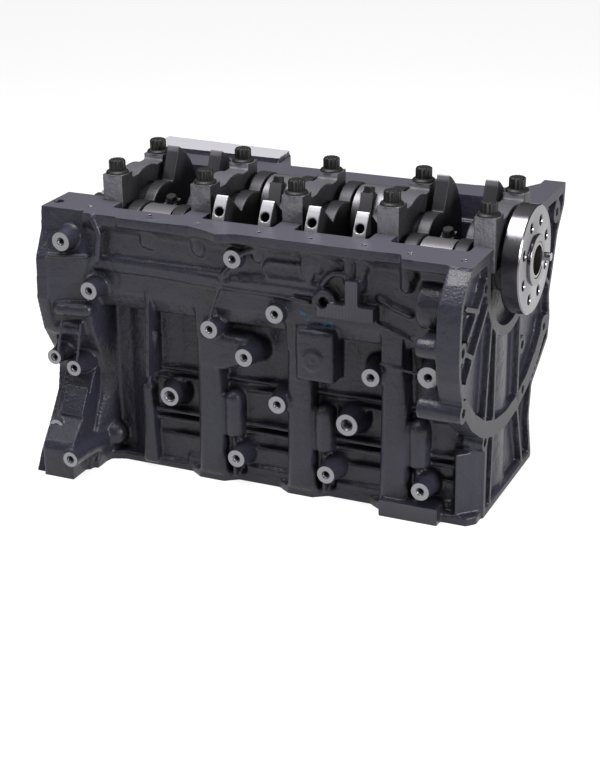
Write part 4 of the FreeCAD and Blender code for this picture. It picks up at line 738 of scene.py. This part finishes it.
cutter = bpy.data.objects.new("cutter", drills)
scene.collection.objects.link(cutter)
flange = modified(disc, "BOOLEAN", operation="DIFFERENCE", object=cutter)
bpy.data.objects.remove(cutter)
flange.set_sharp_from_angle(angle=math.radians(32))
piece("turned_flange", along_crank(flange, FLANGE_BACK), "crank", "forged_steel", flange_metal)

# %% [markdown]
# The floor is a plain pale sheet that takes the block's shadow. It glows only for the
# camera, for mirrors and through glass, so it looks white and adds no light of its own.

# %% Floor
FLOOR_HALF = 6.0                            # metres
floor_mesh = bpy.data.meshes.new("floor")
floor_mesh.from_pydata([(-FLOOR_HALF, -FLOOR_HALF, 0), (FLOOR_HALF, -FLOOR_HALF, 0),
                        (FLOOR_HALF, FLOOR_HALF, 0), (-FLOOR_HALF, FLOOR_HALF, 0)], [], [(0, 1, 2, 3)])
floor = bpy.data.objects.new("floor", floor_mesh)
scene.collection.objects.link(floor)
white, tree = fresh("white_floor")
ray = add(tree, "ShaderNodeLightPath").outputs
seen = compute(tree, "MAXIMUM", ray["Is Camera Ray"], ray["Is Glossy Ray"])
seen = compute(tree, "MAXIMUM", seen, ray["Is Transmission Ray"])
matt = add(tree, "ShaderNodeBsdfDiffuse", {"Color": colour("#a8a8a8")})
glow = add(tree, "ShaderNodeEmission", {"Color": colour("#ffffff"), "Strength": 0.8})
both = add(tree, "ShaderNodeAddShader", i0=matt.outputs[0], i1=glow.outputs[0])
mixed = add(tree, "ShaderNodeMixShader", i0=seen, i1=matt.outputs[0], i2=both.outputs[0])
add(tree, "ShaderNodeOutputMaterial", Surface=mixed.outputs[0])
floor_mesh.materials.append(white)
print("floor of", 2 * FLOOR_HALF, "metres")

# %% [markdown]
# The sky is white to the camera and through glass. As a light, and in a mirror, it
# fades from grey overhead to almost black at the horizon, as a studio does, so that
# polished steel has something dark to mirror.

# %% World
world = bpy.data.worlds.new("studio")
scene.world = world
world.use_nodes = True
tree = world.node_tree
tree.nodes.clear()
ray = add(tree, "ShaderNodeLightPath").outputs
rise = add(tree, "ShaderNodeSeparateXYZ", Vector=add(tree, "ShaderNodeTexCoord").outputs["Generated"]).outputs[2]
HORIZON, OVERHEAD = 0.03, 0.32              # strengths of the sky
sky = add(tree, "ShaderNodeMapRange",
          {"From Min": 0.05, "From Max": 0.7, "To Min": HORIZON, "To Max": OVERHEAD}, Value=rise).outputs[0]
seen = compute(tree, "MAXIMUM", ray["Is Camera Ray"], ray["Is Transmission Ray"])
soft = add(tree, "ShaderNodeBackground", {"Color": colour("#ffffff")}, Strength=sky)
plain = add(tree, "ShaderNodeBackground", {"Color": colour("#ffffff"), "Strength": 1.0})
mixed = add(tree, "ShaderNodeMixShader", i0=seen, i1=soft.outputs[0], i2=plain.outputs[0])
add(tree, "ShaderNodeOutputWorld", Surface=mixed.outputs[0])
print("sky from", HORIZON, "to", OVERHEAD)

# %% [markdown]
# Three square softboxes stand in for a product table's lamps: a large one overhead that
# shows the rail and the caps, a weak one on the left, and one low on the right that
# rakes across the wall and brings out its ribs.


# %% Lamps
def softbox(name, place, aim, size, power):
    """A square area lamp turned towards a point."""
    data = bpy.data.lights.new(name, "AREA")
    data.size = size
    data.energy = power
    lamp = bpy.data.objects.new(name, data)
    scene.collection.objects.link(lamp)
    lamp.location = place
    lamp.rotation_euler = (Vector(aim) - Vector(place)).to_track_quat("-Z", "Y").to_euler()


lamps = [                                   # name, place, aim, side in metres, watts
    ("overhead", (-0.2, -0.15, 1.5), (0, 0, 0.15), 0.8, 20),
    ("left_front", (-1.3, -0.9, 1.3), (0, 0, 0.15), 0.45, 4),
    ("right_front", (1.5, -0.5, 0.75), (0.1, 0, 0.15), 0.45, 19)]
for lamp_row in lamps:
    softbox(*lamp_row)
print(len(lamps), "softboxes")
